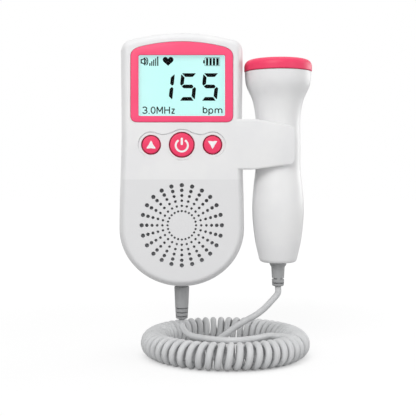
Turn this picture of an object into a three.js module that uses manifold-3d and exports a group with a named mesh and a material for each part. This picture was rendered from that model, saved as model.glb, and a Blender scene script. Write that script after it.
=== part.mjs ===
// Fetal doppler monitor: a hand-held main unit with a clip for its probe, joined to it by a curly cord.
// Millimetres, +Z up, the front faces -Y. The origin lies on the flat back of the main unit.
import * as THREE from "three";
import { mergeVertices } from "three/addons/utils/BufferGeometryUtils.js";
import Module from "manifold-3d";

const wasm = await Module();
wasm.setup();

// General clearances and counts
const fitGap = 0.3; // between pieces that are assembled
const slideGap = 0.35; // between pieces that move on each other
const cutOverrun = 2; // how far a cutting tool runs past the wall it cuts
const mergeDistance = 1e-4;
const roundSides = 20;
const smallSides = 10;
const turnedSides = 22;
const discSides = 36;
const cellSides = 16;
const barrelSides = 16;
const reliefSides = 12;
const postSides = 8;
const pilotSides = 6;
const shapeSteps = 5; // along each curve of the screen's outline
const reachShare = 4; // of the housing's depth, how far a splitting block reaches past the middle

// Main unit housing
const bodyDepth = 30;
const bodyTop = 29.6; // height of the top edge above the mounting point
const topArcRadius = 105;
const topCornerRadius = 6.5;
const shoulderHalfWidth = 32.3;
const waistHalfWidth = 32;
const waistHeight = -20;
const bellyHalfWidth = 33.1;
const bellyHeight = -72.9;
const bellyDrop = 30.6; // from the widest line down to the bottom edge
const housingWall = 2.2;
const frontEdgeInset = 4.2;
const frontEdgeDepth = 6;
const rearEdgeInset = 4;
const rearEdgeDepth = 5;

// Probe, a body of revolution about an upright axis
const probeAxisX = 50.8;
const probeHeadRadius = 17.5;
const probeFlareInset = 0.6; // the flare below the head is this much slimmer
const probeShoulderRadius = 13.4;
const probeNeckRadius = 11.85;
const probeBellyRadius = 13.6;
const probeTailRadius = 8.6;
const probeRumpRadius = 9.95; // just above the rounded bottom edge
const probeLowerBellyRadius = 12.2;
const probeUpperBellyRadius = 12.95;
const probeHeadTop = 9.2;
const probeFlareHeight = 2.8;
const probeShoulderHeight = -5.6;
const probeNeckTop = -14.5;
const probeNeckBottom = -41.5;
const probeUpperBellyHeight = -52;
const probeBellyHeight = -63.5;
const probeLowerBellyHeight = -78.8;
const probeRumpHeight = -89.1;
const probeBottom = -90.9;
const probeWall = 2;
const capOverhang = 0.3; // the cap stands proud of the head all round
const capHeight = 6.2;
const capRimRound = 3.6;
const capCrown = 0.5;
const capSpigotDepth = 2.4;
const capWall = 1.6;

// Clip that holds the probe at its neck
const clipTop = -16.3;
const clipBottom = -42;
const clipTaperStart = 38;
const clipTip = 58.4;
const clipTipDrop = 2.9; // how far the top edge falls towards the tip
const clipTipRise = 2.2; // how far the bottom edge rises towards the tip
const clipTipCorner = 4;
const clipBend = 50.2; // where the outer faces start to turn in
const clipTurnIn = 1;
const clipSeatClearance = 0.4;

// Screen
const frameHalfWidth = 26.2;
const frameTop = 23.3;
const frameShoulder = 19.6;
const frameBottom = -17.9;
const frameCorner = 3.2;
const frameThickness = 1.3;
const frameProud = 0.25;
const windowHalfWidth = 22.1;
const windowTop = 16.4;
const windowBottom = -14.7;
const windowCorner = 0.8;
const windowLedge = 1;
const lensThickness = 0.9;
const lcdThickness = 2.4;
const lcdBorder = 1.4; // how far the panel reaches past the window
const backlightThickness = 2.6;

// Buttons
const buttonRow = -29.5;
const powerRadius = 6.3;
const volumeRadius = 4.75;
const volumeSpacing = 15.7;
const buttonProud = 0.7;
const buttonCrown = 0.35;
const buttonEdgeRound = 0.5;
const buttonTravel = 0.8;
const buttonFlange = 0.9;
const buttonFlangeThickness = 0.7;
const switchSize = 6;
const switchHeight = 3;
const switchActuatorRadius = 1.7;
const switchClearance = 0.2; // left between a fully pressed button and its switch

// Main board
const boardHalfWidth = 22.4;
const boardTop = 24.2;
const boardBottom = -46;
const boardThickness = 1.6;
const boardCorner = 1.5;
const chipThickness = 1.3;
const processorSize = 12;
const processorHeight = 4;
const amplifierWidth = 7;
const amplifierLength = 5;
const amplifierX = -11;
const amplifierHeight = -20;
const boardScrewX = 18.4;
const boardScrewLow = -42.5;
const boardScrewHigh = 21.7;
const boardPostRadius = 2.1;
const boardScrewRadius = 0.8;
const boardScrewHeadRadius = 1.7;
const boardScrewHeadThickness = 1.1;
const boardScrewBite = 3.4;

// Speaker and its grille
const speakerHeight = -70.7;
const grilleRadius = 23.4;
const grilleThickness = 1.5;
const grilleLedge = 1;
const grilleSpokes = 24;
const grilleFirstRing = 7.3;
const grilleRingStep = 2.65;
const grilleHoleRadii = [0.5, 0.56, 0.65, 0.78, 0.93, 1.1];
const grilleHoleSides = [4, 4, 4, 5, 5, 6];
const speakerRadius = 20.4;
const speakerRim = 2.4;
const speakerPlate = 1;
const speakerNeckRadius = 10.5;
const speakerBasketDepth = 3.9;
const gasketThickness = 0.7;
const gasketRadius = 24;
const coneThickness = 0.6;
const coneThroatRadius = 4.2;
const magnetRadius = 9;
const magnetThickness = 2.6;
const magnetPoleRadius = 3;

// Battery bay in the rear cover, two AA cells upright
const cellRadius = 7.1;
const cellLength = 50;
const cellNubRadius = 2.7;
const cellNubHeight = 1.5;
const cellRound = 0.6;
const cellSpacing = 15.2;
const bayWall = 1.3;
const bayHalfWidth = 15.4;
const bayFoot = 14.3; // from the housing's bottom edge up to the bay
const springLength = 3.2;
const springRadius = 3;
const springTipRadius = 1.9;
const springTurns = 2.5;
const springWire = 0.6;
const contactThickness = 0.5;
const contactRadius = 4;
const bridgeHalfDepth = 5;
const bridgeHalfWidth = 13.5;

// Battery door, tilting out on its lower edge
const doorHalfWidth = 17.6;
const doorMargin = 1.9; // how far the door covers the bay at its top and bottom
const doorThickness = 2;
const doorCorner = 2.6;
const doorSeat = 1; // width of the ledge that the door rests on
const tabHalfWidth = 3;
const tabSpacing = 18;
const tabReach = 1.4;
const tabThickness = 1.1;
const latchHalfWidth = 5;
const latchHeight = 3;
const latchDepth = 0.9;
const gripGrooves = 3;
const gripGrooveHalfWidth = 6;
const gripGrooveHeight = 0.9;
const gripGroovePitch = 2.1;
const gripGrooveDepth = 0.45;
const gripInset = 3.5;

// Housing screws, driven from the back
const screwHighX = 26.4;
const screwHighZ = 21;
const screwLowX = 22.6;
const screwLowZ = -87.5;
const screwHeadRadius = 2.4;
const screwHeadThickness = 1.5;
const screwRadius = 1.1;
const screwLength = 14;
const screwHeadDepth = 7;
const screwSlotWidth = 0.6;
const screwSlotDepth = 0.6;
const bossWall = 1.3;
const headShoulderShare = 0.75; // radius of a screw head's top as a share of the head's

// Earphone socket in the left side
const socketHeight = 2;
const socketRadius = 3;
const socketBoreRadius = 1.8;
const socketLength = 11;
const socketBoreDepth = 9.5;
const socketProud = 0.3;
const socketFlange = 1;
const socketFlangeThickness = 1;

// Strain reliefs
const reliefTopRadius = 3.95;
const reliefMiddleRadius = 3.5;
const reliefEndRadius = 3.1;
const reliefLength = 16.8;
const reliefTaperLength = 10.6;
const reliefGroovePitch = 2.2;
const reliefGrooveWidth = 0.6;
const reliefGrooveDepth = 0.7;
const reliefGrooves = 3;
const reliefNeckRadius = 2.9;
const reliefCollarRadius = 4.4;
const reliefCollarThickness = 1.6;
const probeReliefFlangeRadius = 4.4;
const probeReliefFlangeLength = 1.2;
const probeReliefBodyRadius = 3.5;
const probeReliefEndRadius = 3.1;
const probeReliefLength = 12.3;
const probeReliefGrooveStart = 7.6;

// Probe contents
const crystalRadius = 8.5;
const crystalThickness = 1.6;
const crystalSplit = 1.2;
const backingThickness = 4;
const probeBoardHalfWidth = 9.4;
const probeBoardLength = 62;
const probeBoardThickness = 1.2;
const probeBoardDrop = 5; // below the transducer

// Cord
const cordDiameter = 3.3;
const tubeSides = 8;
const curlSides = 5;
const stepsPerCurl = 8;
const curls = 52.5;
const curlRadius = 5.3;
const ringRadius = 37.5;
const ringCentreX = 22.8;
const floorHeight = -139.95;
const ringStart = THREE.MathUtils.degToRad(-28);
const ringSweep = THREE.MathUtils.degToRad(352);
const unitLeadSteps = 18;
const probeLeadSteps = 20;
// Routes of the two straight leads between their straight ends, chosen by hand
const unitLeadRoute = [
  [1.4, -19.2, -126.4],
  [3.4, -25.4, -127.2],
  [7.2, -32.2, -127.3],
  [12, -38, -127],
  [17.6, -42.4, -126.8],
  [23.6, -45.4, -126.6],
  [30, -44.7, -126.5],
  [35.8, -41.6, -126.4],
  [40.2, -36.6, -126.6],
  [42.6, -31.6, -127.1],
  [45.9, -28.2, -127.5],
];
const probeLeadRoute = [
  [48, -24.4, -138.3],
  [40, -23.8, -138.3],
  [31, -25.4, -138.3],
  [22, -27.4, -138.3],
  [12.5, -27.2, -138.3],
  [5, -23, -138.3],
  [2.6, -16.5, -138.2],
  [6, -11.4, -137.7],
  [12, -10.6, -136.2],
  [18, -12, -133.4],
  [23.2, -13.2, -129.4],
  [28.4, -14, -125.4],
  [34, -14.5, -121.8],
  [39.6, -14.8, -118.6],
  [44, -15, -115],
  [47.4, -15, -111.4],
];

// Derived places
const probeFlareRadius = probeHeadRadius - probeFlareInset;
const capRadius = probeHeadRadius + capOverhang;
const frontFace = -bodyDepth;
const middlePlane = -bodyDepth / 2;
const bodyBottom = bellyHeight - bellyDrop;
const innerFront = frontFace + housingWall;
const innerRear = -housingWall;
const lcdFront = innerFront + fitGap;
const backlightFront = lcdFront + lcdThickness + fitGap;
const boardFront = backlightFront + backlightThickness + fitGap;
const boardRear = boardFront + boardThickness;
const cellAxisY = -doorThickness - fitGap - fitGap - cellRadius;
const bayFloor = cellAxisY - cellRadius - fitGap;
const bayBottom = bodyBottom + bayFoot;
const springBottom = bayBottom + fitGap + contactThickness + fitGap;
const cellTop = springBottom + springLength + fitGap + cellLength; // of the cell that stands with its nub up
const bayTop = cellTop + fitGap + contactThickness + fitGap;
const invertedCellTop = springBottom + cellLength;
const doorTop = bayTop + doorMargin;
const doorBottom = bayBottom - doorMargin;
const lipGap = fitGap + housingWall - doorThickness; // from the door's inner face to a tab under the lip
const tabRear = -doorThickness - lipGap;
const clipSeatRadius = probeNeckRadius + clipSeatClearance;
const reliefTop = bodyBottom - fitGap;
const reliefEnd = reliefTop - reliefLength;
const probeReliefTop = probeBottom - fitGap;
const probeReliefEnd = probeReliefTop - probeReliefLength;
const ringHeight = floorHeight + cordDiameter / 2 + curlRadius;

// Materials
function plastic(colour, roughness) {
  return new THREE.MeshStandardMaterial({ color: colour, roughness, metalness: 0 });
}

function metal(colour, roughness) {
  return new THREE.MeshStandardMaterial({ color: colour, roughness, metalness: 1 });
}

const finishes = {
  housing: () => plastic(0xececec, 0.35),
  pink: () => plastic(0xee5080, 0.4),
  cord: () => plastic(0xbfc1c1, 0.5),
  relief: () => plastic(0xa9abad, 0.55),
  dark: () => plastic(0x26282a, 0.6),
  glass: () => plastic(0xcdfefb, 0.1),
  diffuser: () => plastic(0xf4f8f8, 0.6),
  board: () => plastic(0x1f6b3a, 0.5),
  ceramic: () => plastic(0xd9d3bf, 0.5),
  foam: () => plastic(0x3a3a3c, 0.9),
  steel: () => metal(0xb9bcc0, 0.3),
  cell: () => metal(0x8a6f3a, 0.4),
};

// Solids: a closed geometry becomes a manifold, is cut and joined, and goes back to a mesh
function solidOf(geometry) {
  const bare = new THREE.BufferGeometry();
  bare.setAttribute("position", geometry.getAttribute("position"));
  if (geometry.index) bare.setIndex(geometry.index);
  const merged = mergeVertices(bare, mergeDistance);
  const triVerts = new Uint32Array(merged.index.array);
  const vertProperties = merged.getAttribute("position").array;
  return new wasm.Manifold(new wasm.Mesh({ numProp: 3, vertProperties, triVerts }));
}

function joined(first, ...others) {
  return others.reduce((whole, other) => whole.add(other), first);
}

function cut(first, ...others) {
  return others.reduce((whole, other) => whole.subtract(other), first);
}

const part = new THREE.Group();

function addPiece(name, solid, finish) {
  const { vertProperties, triVerts } = solid.getMesh();
  const geometry = new THREE.BufferGeometry();
  geometry.setAttribute("position", new THREE.BufferAttribute(new Float32Array(vertProperties), 3));
  geometry.setIndex(new THREE.BufferAttribute(new Uint32Array(triVerts), 1));
  geometry.computeVertexNormals();
  const mesh = new THREE.Mesh(geometry, finish());
  mesh.name = name;
  part.add(mesh);
}

// Basic shapes, each placed by its own limits
function block(x0, x1, y0, y1, z0, z1) {
  const box = new THREE.BoxGeometry(x1 - x0, y1 - y0, z1 - z0);
  return solidOf(box.translate((x0 + x1) / 2, (y0 + y1) / 2, (z0 + z1) / 2));
}

function rodY(x, z, radius, y0, y1, sides = roundSides) {
  const rod = new THREE.CylinderGeometry(radius, radius, y1 - y0, sides);
  return solidOf(rod.translate(x, (y0 + y1) / 2, z));
}

function rodX(x0, x1, y, z, radius, sides = roundSides) {
  const rod = new THREE.CylinderGeometry(radius, radius, x1 - x0, sides).rotateZ(Math.PI / 2);
  return solidOf(rod.translate((x0 + x1) / 2, y, z));
}

function revolved(profile, sides = roundSides) {
  return new THREE.LatheGeometry(profile.map(([r, h]) => new THREE.Vector2(r, h)), sides);
}

// A profile of radius and height, turned about an upright axis
function turnedZ(profile, x, y, sides = roundSides) {
  return solidOf(revolved(profile, sides).rotateX(Math.PI / 2).translate(x, y, 0));
}

// A profile of radius and depth, turned about an axis along Y
function turnedY(profile, x, z, sides = roundSides) {
  return solidOf(revolved(profile, sides).translate(x, 0, z));
}

// A front-view shape in x and z, carried from y0 back to y1
function plateY(shape, y0, y1, curveSegments = 4) {
  const plate = new THREE.ExtrudeGeometry(shape, {
    depth: y1 - y0,
    bevelEnabled: false,
    curveSegments,
  });
  return solidOf(plate.rotateX(Math.PI / 2).translate(0, y1, 0));
}

function roundedRectangle(x0, x1, z0, z1, radius) {
  const shape = new THREE.Shape();
  shape.moveTo(x0 + radius, z0);
  shape.lineTo(x1 - radius, z0);
  shape.absarc(x1 - radius, z0 + radius, radius, -Math.PI / 2, 0);
  shape.lineTo(x1, z1 - radius);
  shape.absarc(x1 - radius, z1 - radius, radius, 0, Math.PI / 2);
  shape.lineTo(x0 + radius, z1);
  shape.absarc(x0 + radius, z1 - radius, radius, Math.PI / 2, Math.PI);
  shape.lineTo(x0, z0 + radius);
  shape.absarc(x0 + radius, z0 + radius, radius, Math.PI, Math.PI * 1.5);
  return shape;
}

// Rings of equally many points, joined side to side and closed by a fan at each end
function loft(rings) {
  const count = rings[0].length;
  const points = rings.flat();
  const faces = [];
  for (let k = 0; k + 1 < rings.length; k += 1) {
    for (let i = 0; i < count; i += 1) {
      const a = k * count + i;
      const b = k * count + ((i + 1) % count);
      faces.push(a, b, a + count, b, b + count, a + count);
    }
  }
  for (const [ring, first, turn] of [
    [rings[0], 0, 1],
    [rings[rings.length - 1], (rings.length - 1) * count, -1],
  ]) {
    const centre = new THREE.Vector3();
    ring.forEach((point) => centre.addScaledVector(point, 1 / count));
    const hub = points.push(centre) - 1;
    for (let i = 0; i < count; i += 1) {
      const a = first + i;
      const b = first + ((i + 1) % count);
      faces.push(hub, turn > 0 ? b : a, turn > 0 ? a : b);
    }
  }
  let volume = 0;
  for (let i = 0; i < faces.length; i += 3) {
    const [a, b, c] = [points[faces[i]], points[faces[i + 1]], points[faces[i + 2]]];
    volume += a.dot(b.clone().cross(c));
  }
  if (volume < 0) faces.reverse();
  const geometry = new THREE.BufferGeometry().setFromPoints(points);
  geometry.setIndex(faces);
  return solidOf(geometry);
}

// Front-view outline of the housing, drawn in by an inset all round: a half ellipse below, slightly waisted
// sides, and a shallow top arc that meets them in round corners
function bodyOutline(inset) {
  const arcCentre = bodyTop - topArcRadius;
  const cornerX = shoulderHalfWidth - topCornerRadius;
  const cornerReach = topArcRadius - topCornerRadius;
  const cornerZ = arcCentre + Math.sqrt(cornerReach ** 2 - cornerX ** 2);
  const cornerAngle = Math.atan2(cornerZ - arcCentre, cornerX);
  const right = [];
  const bellySteps = 9;
  for (let i = 0; i < bellySteps; i += 1) {
    const angle = (Math.PI / 2) * (i / bellySteps - 1);
    const x = (bellyHalfWidth - inset) * Math.cos(angle);
    right.push([x, bellyHeight + (bellyDrop - inset) * Math.sin(angle)]);
  }
  const side = new THREE.SplineCurve([
    new THREE.Vector2(bellyHalfWidth - inset, bellyHeight),
    new THREE.Vector2(waistHalfWidth - inset, waistHeight),
    new THREE.Vector2(shoulderHalfWidth - inset, cornerZ),
  ]);
  side.getPoints(4).slice(0, -1).forEach((point) => right.push([point.x, point.y]));
  const cornerSteps = 4;
  for (let i = 0; i <= cornerSteps; i += 1) {
    const angle = (cornerAngle * i) / cornerSteps;
    const radius = topCornerRadius - inset;
    right.push([cornerX + radius * Math.cos(angle), cornerZ + radius * Math.sin(angle)]);
  }
  const arcSteps = 3;
  for (let i = 1; i <= arcSteps; i += 1) {
    const angle = cornerAngle + ((Math.PI / 2 - cornerAngle) * i) / arcSteps;
    const radius = topArcRadius - inset;
    right.push([radius * Math.cos(angle), arcCentre + radius * Math.sin(angle)]);
  }
  const left = right.slice(1, -1).reverse().map(([x, z]) => [-x, z]);
  return [...right, ...left];
}

function ringAt(y, inset) {
  return bodyOutline(inset).map(([x, z]) => new THREE.Vector3(x, y, z));
}

// Housing block with both edges rounded, its surface moved in by a wall
function housingBlock(wall, rounds = 3) {
  const rings = [];
  for (let i = 0; i <= rounds; i += 1) {
    const angle = ((Math.PI / 2) * i) / rounds;
    const inset = frontEdgeInset * (1 - Math.sin(angle));
    rings.push(ringAt(frontFace + wall + frontEdgeDepth * (1 - Math.cos(angle)), wall + inset));
  }
  for (let i = rounds; i >= 0; i -= 1) {
    const angle = ((Math.PI / 2) * i) / rounds;
    const inset = rearEdgeInset * (1 - Math.sin(angle));
    rings.push(ringAt(-wall - rearEdgeDepth * (1 - Math.cos(angle)), wall + inset));
  }
  return loft(rings);
}

// Clip: a plan with a round seat between two straight arms, narrowed towards the tip as seen from the front
function clipBlock() {
  const root = waistHalfWidth - housingWall;
  const armThickness = bodyDepth / 2 - clipSeatRadius;
  const plan = new THREE.Shape();
  plan.moveTo(root, frontFace);
  plan.lineTo(clipBend, frontFace);
  plan.quadraticCurveTo(
    clipTip - clipTurnIn, frontFace, clipTip, frontFace + armThickness - clipTurnIn,
  );
  plan.lineTo(clipTip, frontFace + armThickness);
  plan.lineTo(probeAxisX, frontFace + armThickness);
  plan.absarc(probeAxisX, middlePlane, clipSeatRadius, -Math.PI / 2, Math.PI / 2, true);
  plan.lineTo(clipTip, -armThickness);
  plan.lineTo(clipTip, clipTurnIn - armThickness);
  plan.quadraticCurveTo(clipTip - clipTurnIn, 0, clipBend, 0);
  plan.lineTo(root, 0);
  const height = clipTop - clipBottom;
  const upright = new THREE.ExtrudeGeometry(plan, {
    depth: height,
    bevelEnabled: false,
    curveSegments: 10,
  });
  const tipTop = clipTop - clipTipDrop;
  const tipBottom = clipBottom + clipTipRise;
  const front = new THREE.Shape();
  front.moveTo(root - cutOverrun, clipBottom);
  front.lineTo(clipTaperStart, clipBottom);
  front.lineTo(clipTip - clipTipCorner, tipBottom);
  front.quadraticCurveTo(clipTip, tipBottom, clipTip, tipBottom + clipTipCorner);
  front.lineTo(clipTip, tipTop - clipTipCorner);
  front.quadraticCurveTo(clipTip, tipTop, clipTip - clipTipCorner, tipTop);
  front.lineTo(clipTaperStart, clipTop);
  front.lineTo(root - cutOverrun, clipTop);
  const taper = plateY(front, frontFace - cutOverrun, cutOverrun);
  return solidOf(upright.translate(0, 0, clipBottom)).intersect(taper);
}

// The flat of the front arm reaches over the rounded edge of the front face
function clipBridge() {
  const root = waistHalfWidth - frontEdgeInset;
  const rear = frontFace + frontEdgeDepth;
  return block(root, waistHalfWidth, frontFace, rear, clipBottom, clipTop);
}

function clipBridgeRear() {
  const root = waistHalfWidth - rearEdgeInset;
  return block(root, waistHalfWidth, -rearEdgeDepth, 0, clipBottom, clipTop);
}

const housingScrews = [
  [screwHighX, screwHighZ],
  [-screwHighX, screwHighZ],
  [screwLowX, screwLowZ],
  [-screwLowX, screwLowZ],
];
const boardScrews = [
  [boardScrewX, boardScrewLow],
  [-boardScrewX, boardScrewLow],
  [0, boardScrewHigh],
];
const buttons = [
  ["volume_up", -volumeSpacing, volumeRadius],
  ["power", 0, powerRadius],
  ["volume_down", volumeSpacing, volumeRadius],
];

function screenShape(margin) {
  const half = frameHalfWidth + margin;
  const low = frameBottom - margin;
  const shoulder = frameShoulder + margin;
  const shape = new THREE.Shape();
  shape.moveTo(frameCorner - half, low);
  shape.lineTo(half - frameCorner, low);
  shape.absarc(half - frameCorner, low + frameCorner, frameCorner, -Math.PI / 2, 0);
  shape.lineTo(half, shoulder - frameCorner);
  shape.quadraticCurveTo(half, shoulder, half - frameCorner, shoulder + margin);
  shape.quadraticCurveTo(0, frameTop * 2 - shoulder + margin, frameCorner - half, shoulder + margin);
  shape.quadraticCurveTo(-half, shoulder, -half, shoulder - frameCorner);
  shape.lineTo(-half, low + frameCorner);
  shape.absarc(frameCorner - half, low + frameCorner, frameCorner, Math.PI, Math.PI * 1.5);
  return shape;
}

function windowShape(margin) {
  const half = windowHalfWidth + margin;
  return roundedRectangle(-half, half, windowBottom - margin, windowTop + margin, windowCorner);
}

const frameFront = frontFace - frameProud;
const frameRear = frameFront + frameThickness;
const recessFloor = frameRear + fitGap;
const grilleRear = frontFace + grilleThickness;
const halfGap = fitGap / 2;

// Both covers come from one shell, split at the middle plane
const shell = cut(
  joined(housingBlock(0), clipBlock(), clipBridge(), clipBridgeRear()),
  housingBlock(housingWall),
);
const reach = bodyDepth * reachShare;
const passages = joined(
  turnedZ([[0, bodyBottom - cutOverrun], [reliefNeckRadius + fitGap, bodyBottom - cutOverrun],
    [reliefNeckRadius + fitGap, bodyBottom + housingWall + cutOverrun],
    [0, bodyBottom + housingWall + cutOverrun]], 0, middlePlane, smallSides),
  rodX(-shoulderHalfWidth - cutOverrun, -waistHalfWidth + housingWall + cutOverrun, middlePlane,
    socketHeight, socketRadius + fitGap, smallSides),
);

function frontCover() {
  const half = block(-reach, reach, frontFace - reach, middlePlane - halfGap, -reach, reach);
  let cover = shell.intersect(half);
  for (const [x, z] of housingScrews) {
    const postRadius = screwRadius + fitGap + bossWall;
    cover = cover.add(rodY(x, z, postRadius, innerFront - halfGap, middlePlane - halfGap, smallSides));
  }
  for (const [x, z] of boardScrews) {
    cover = cover.add(rodY(x, z, boardPostRadius, innerFront - halfGap, boardFront - fitGap, postSides));
  }
  const pilotEnd = -screwHeadDepth - screwLength - fitGap;
  const pilots = housingScrews.map(([x, z]) => rodY(x, z, screwRadius + fitGap, pilotEnd,
    middlePlane + cutOverrun, pilotSides));
  const boardPilots = boardScrews.map(([x, z]) => rodY(x, z, boardScrewRadius + fitGap,
    boardFront - boardScrewBite - fitGap, boardFront, pilotSides));
  const buttonHoles = buttons.map(([, x, radius]) => rodY(x, buttonRow, radius + slideGap,
    frontFace - cutOverrun, innerFront + cutOverrun));
  return cut(
    cover,
    plateY(screenShape(fitGap), frontFace - cutOverrun, recessFloor, shapeSteps),
    plateY(windowShape(-windowLedge), frontFace - cutOverrun, innerFront + cutOverrun),
    rodY(0, speakerHeight, grilleRadius + fitGap, frontFace - cutOverrun, grilleRear + fitGap, discSides),
    rodY(0, speakerHeight, grilleRadius - grilleLedge, frontFace - cutOverrun,
      innerFront + cutOverrun, discSides),
    ...buttonHoles,
    ...pilots,
    ...boardPilots,
    passages,
  );
}

// Battery bay: a box open to the back, closed by the door that seats on a ledge round it
function rearCover() {
  const half = block(-reach, reach, middlePlane + halfGap, reach, -reach, reach);
  const seatDepth = -doorThickness - fitGap;
  const tabDepth = Math.hypot(tabRear - tabThickness, tabReach) + slideGap;
  const bayBox = block(-bayHalfWidth - bayWall, bayHalfWidth + bayWall, bayFloor - bayWall,
    innerRear + halfGap, bayBottom - bayWall, bayTop + bayWall);
  const seat = block(-doorHalfWidth - doorSeat, doorHalfWidth + doorSeat, seatDepth - bayWall,
    innerRear + halfGap, doorBottom - doorSeat, doorTop + doorSeat);
  const bosses = housingScrews.map(([x, z]) => rodY(x, z, screwHeadRadius + fitGap + bossWall,
    middlePlane + halfGap, innerRear + halfGap, smallSides));
  const inside = housingBlock(housingWall / 2);
  const cover = shell.intersect(half).add(joined(bayBox, seat, ...bosses).intersect(inside));
  const edge = doorHalfWidth + fitGap;
  const doorRecess = plateY(
    roundedRectangle(-edge, edge, doorBottom - fitGap, doorTop + fitGap, doorCorner),
    seatDepth, cutOverrun,
  );
  const bay = block(-bayHalfWidth, bayHalfWidth, bayFloor, cutOverrun, bayBottom, bayTop);
  const tabPockets = [-tabSpacing / 2, tabSpacing / 2].map((x) => block(
    x - tabHalfWidth - slideGap, x + tabHalfWidth + slideGap, -tabDepth, innerRear,
    doorBottom - tabReach - fitGap, bayBottom + fitGap,
  ));
  const latchPocket = block(-latchHalfWidth - fitGap, latchHalfWidth + fitGap,
    seatDepth - latchDepth, innerRear, bayTop - fitGap, doorTop + fitGap);
  const screwHoles = housingScrews.map(([x, z]) => joined(
    rodY(x, z, screwHeadRadius + fitGap, -screwHeadDepth, cutOverrun, smallSides),
    rodY(x, z, screwRadius + fitGap, middlePlane - cutOverrun, 0, pilotSides),
  ));
  return cut(cover, doorRecess, bay, ...tabPockets, latchPocket, ...screwHoles, passages);
}

// Speaker grille: rings of round holes on evenly spaced spokes, wider towards the rim
function speakerGrille() {
  const holes = grilleHoleRadii.flatMap((radius, ring) => {
    const distance = grilleFirstRing + ring * grilleRingStep;
    return Array.from({ length: grilleSpokes }, (_, spoke) => {
      const angle = Math.PI / 2 + (Math.PI * 2 * spoke) / grilleSpokes;
      return rodY(distance * Math.cos(angle), speakerHeight + distance * Math.sin(angle), radius,
        frontFace - cutOverrun, grilleRear + cutOverrun, grilleHoleSides[ring]);
    });
  });
  return cut(rodY(0, speakerHeight, grilleRadius, frontFace, grilleRear, discSides), ...holes);
}

function buttonSolid(x, radius) {
  const face = frontFace - buttonProud;
  const flangeFront = innerFront + fitGap;
  const flangeRear = flangeFront + buttonFlangeThickness;
  const rim = radius + buttonFlange;
  const crown = face - buttonCrown;
  return turnedY([
    [0, crown], [radius / 2, crown + buttonCrown / 4], [radius - buttonEdgeRound, face],
    [radius, face + buttonEdgeRound], [radius, flangeFront], [rim, flangeFront],
    [rim, flangeRear], [0, flangeRear],
  ], x, buttonRow);
}

function switchSolid(x) {
  const rear = boardFront - fitGap;
  const front = innerFront + fitGap + buttonFlangeThickness + buttonTravel + switchClearance;
  const half = switchSize / 2;
  const shoulder = rear - switchHeight;
  const base = block(x - half, x + half, shoulder, rear, buttonRow - half, buttonRow + half);
  return base.add(rodY(x, buttonRow, switchActuatorRadius, front, rear, smallSides));
}

function mainBoard() {
  const outline = roundedRectangle(-boardHalfWidth, boardHalfWidth, boardBottom, boardTop, boardCorner);
  const holes = boardScrews.map(([x, z]) => rodY(x, z, boardScrewRadius + fitGap,
    boardFront - cutOverrun, boardRear + cutOverrun, pilotSides));
  return cut(plateY(outline, boardFront, boardRear), ...holes);
}

// Speaker: a rim, a basket narrowing to the magnet, and a thin cone inside
const speakerFront = innerFront + fitGap + gasketThickness + fitGap;
const basketRear = speakerFront + speakerPlate + speakerBasketDepth;

function speakerFrame() {
  const inner = speakerRadius - speakerRim;
  return turnedY([
    [inner, speakerFront], [speakerRadius, speakerFront],
    [speakerRadius, speakerFront + speakerPlate], [inner + speakerPlate, speakerFront + speakerPlate],
    [speakerNeckRadius + speakerPlate, basketRear], [coneThroatRadius, basketRear],
    [coneThroatRadius, basketRear - speakerPlate], [speakerNeckRadius, basketRear - speakerPlate],
    [inner, speakerFront],
  ], 0, speakerHeight);
}

function speakerCone() {
  const rim = speakerRadius - speakerRim - fitGap - coneThickness;
  const front = speakerFront + fitGap;
  const rear = basketRear - speakerPlate - coneThickness - fitGap;
  return turnedY([
    [0, rear - coneThickness], [coneThroatRadius, rear - coneThickness],
    [rim - coneThickness, front], [rim, front],
    [coneThroatRadius + coneThickness, rear], [0, rear],
  ], 0, speakerHeight);
}

function speakerGasket() {
  const front = innerFront + fitGap;
  const rear = front + gasketThickness;
  const inner = speakerRadius - speakerRim;
  return turnedY([
    [inner, front], [gasketRadius, front], [gasketRadius, rear], [inner, rear], [inner, front],
  ], 0, speakerHeight);
}

function speakerMagnet() {
  const front = basketRear + fitGap;
  const pole = front - fitGap - speakerPlate;
  return turnedY([
    [0, pole], [magnetPoleRadius, pole], [magnetPoleRadius, front], [magnetRadius, front],
    [magnetRadius, front + magnetThickness], [0, front + magnetThickness],
  ], 0, speakerHeight);
}

// Batteries: a plain cell and its mirror image, which stands on its nub
function cellProfile() {
  const low = cellTop - cellLength;
  const shoulder = cellTop - cellNubHeight;
  return [
    [0, low], [cellRadius - cellRound, low], [cellRadius, low + cellRound],
    [cellRadius, shoulder - cellRound], [cellRadius - cellRound, shoulder],
    [cellNubRadius, shoulder], [cellNubRadius, cellTop], [0, cellTop],
  ];
}

function invertedProfile() {
  const low = cellTop - cellLength;
  return cellProfile().map(([r, h]) => [r, invertedCellTop - (h - low)]).reverse();
}

// A tube through a list of centres; each ring of points starts on the side that its outward vector shows
function tubeThrough(centres, outwards, radius, sides) {
  const rings = centres.map((centre, i) => {
    const before = centres[Math.max(i - 1, 0)];
    const after = centres[Math.min(i + 1, centres.length - 1)];
    const tangent = after.clone().sub(before).normalize();
    const slip = -outwards[i].dot(tangent);
    const normal = outwards[i].clone().addScaledVector(tangent, slip).normalize();
    const across = tangent.clone().cross(normal);
    return Array.from({ length: sides }, (_, j) => {
      const angle = (Math.PI * 2 * j) / sides;
      const point = centre.clone().addScaledVector(normal, radius * Math.cos(angle));
      return point.addScaledVector(across, radius * Math.sin(angle));
    });
  });
  return loft(rings);
}

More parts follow.
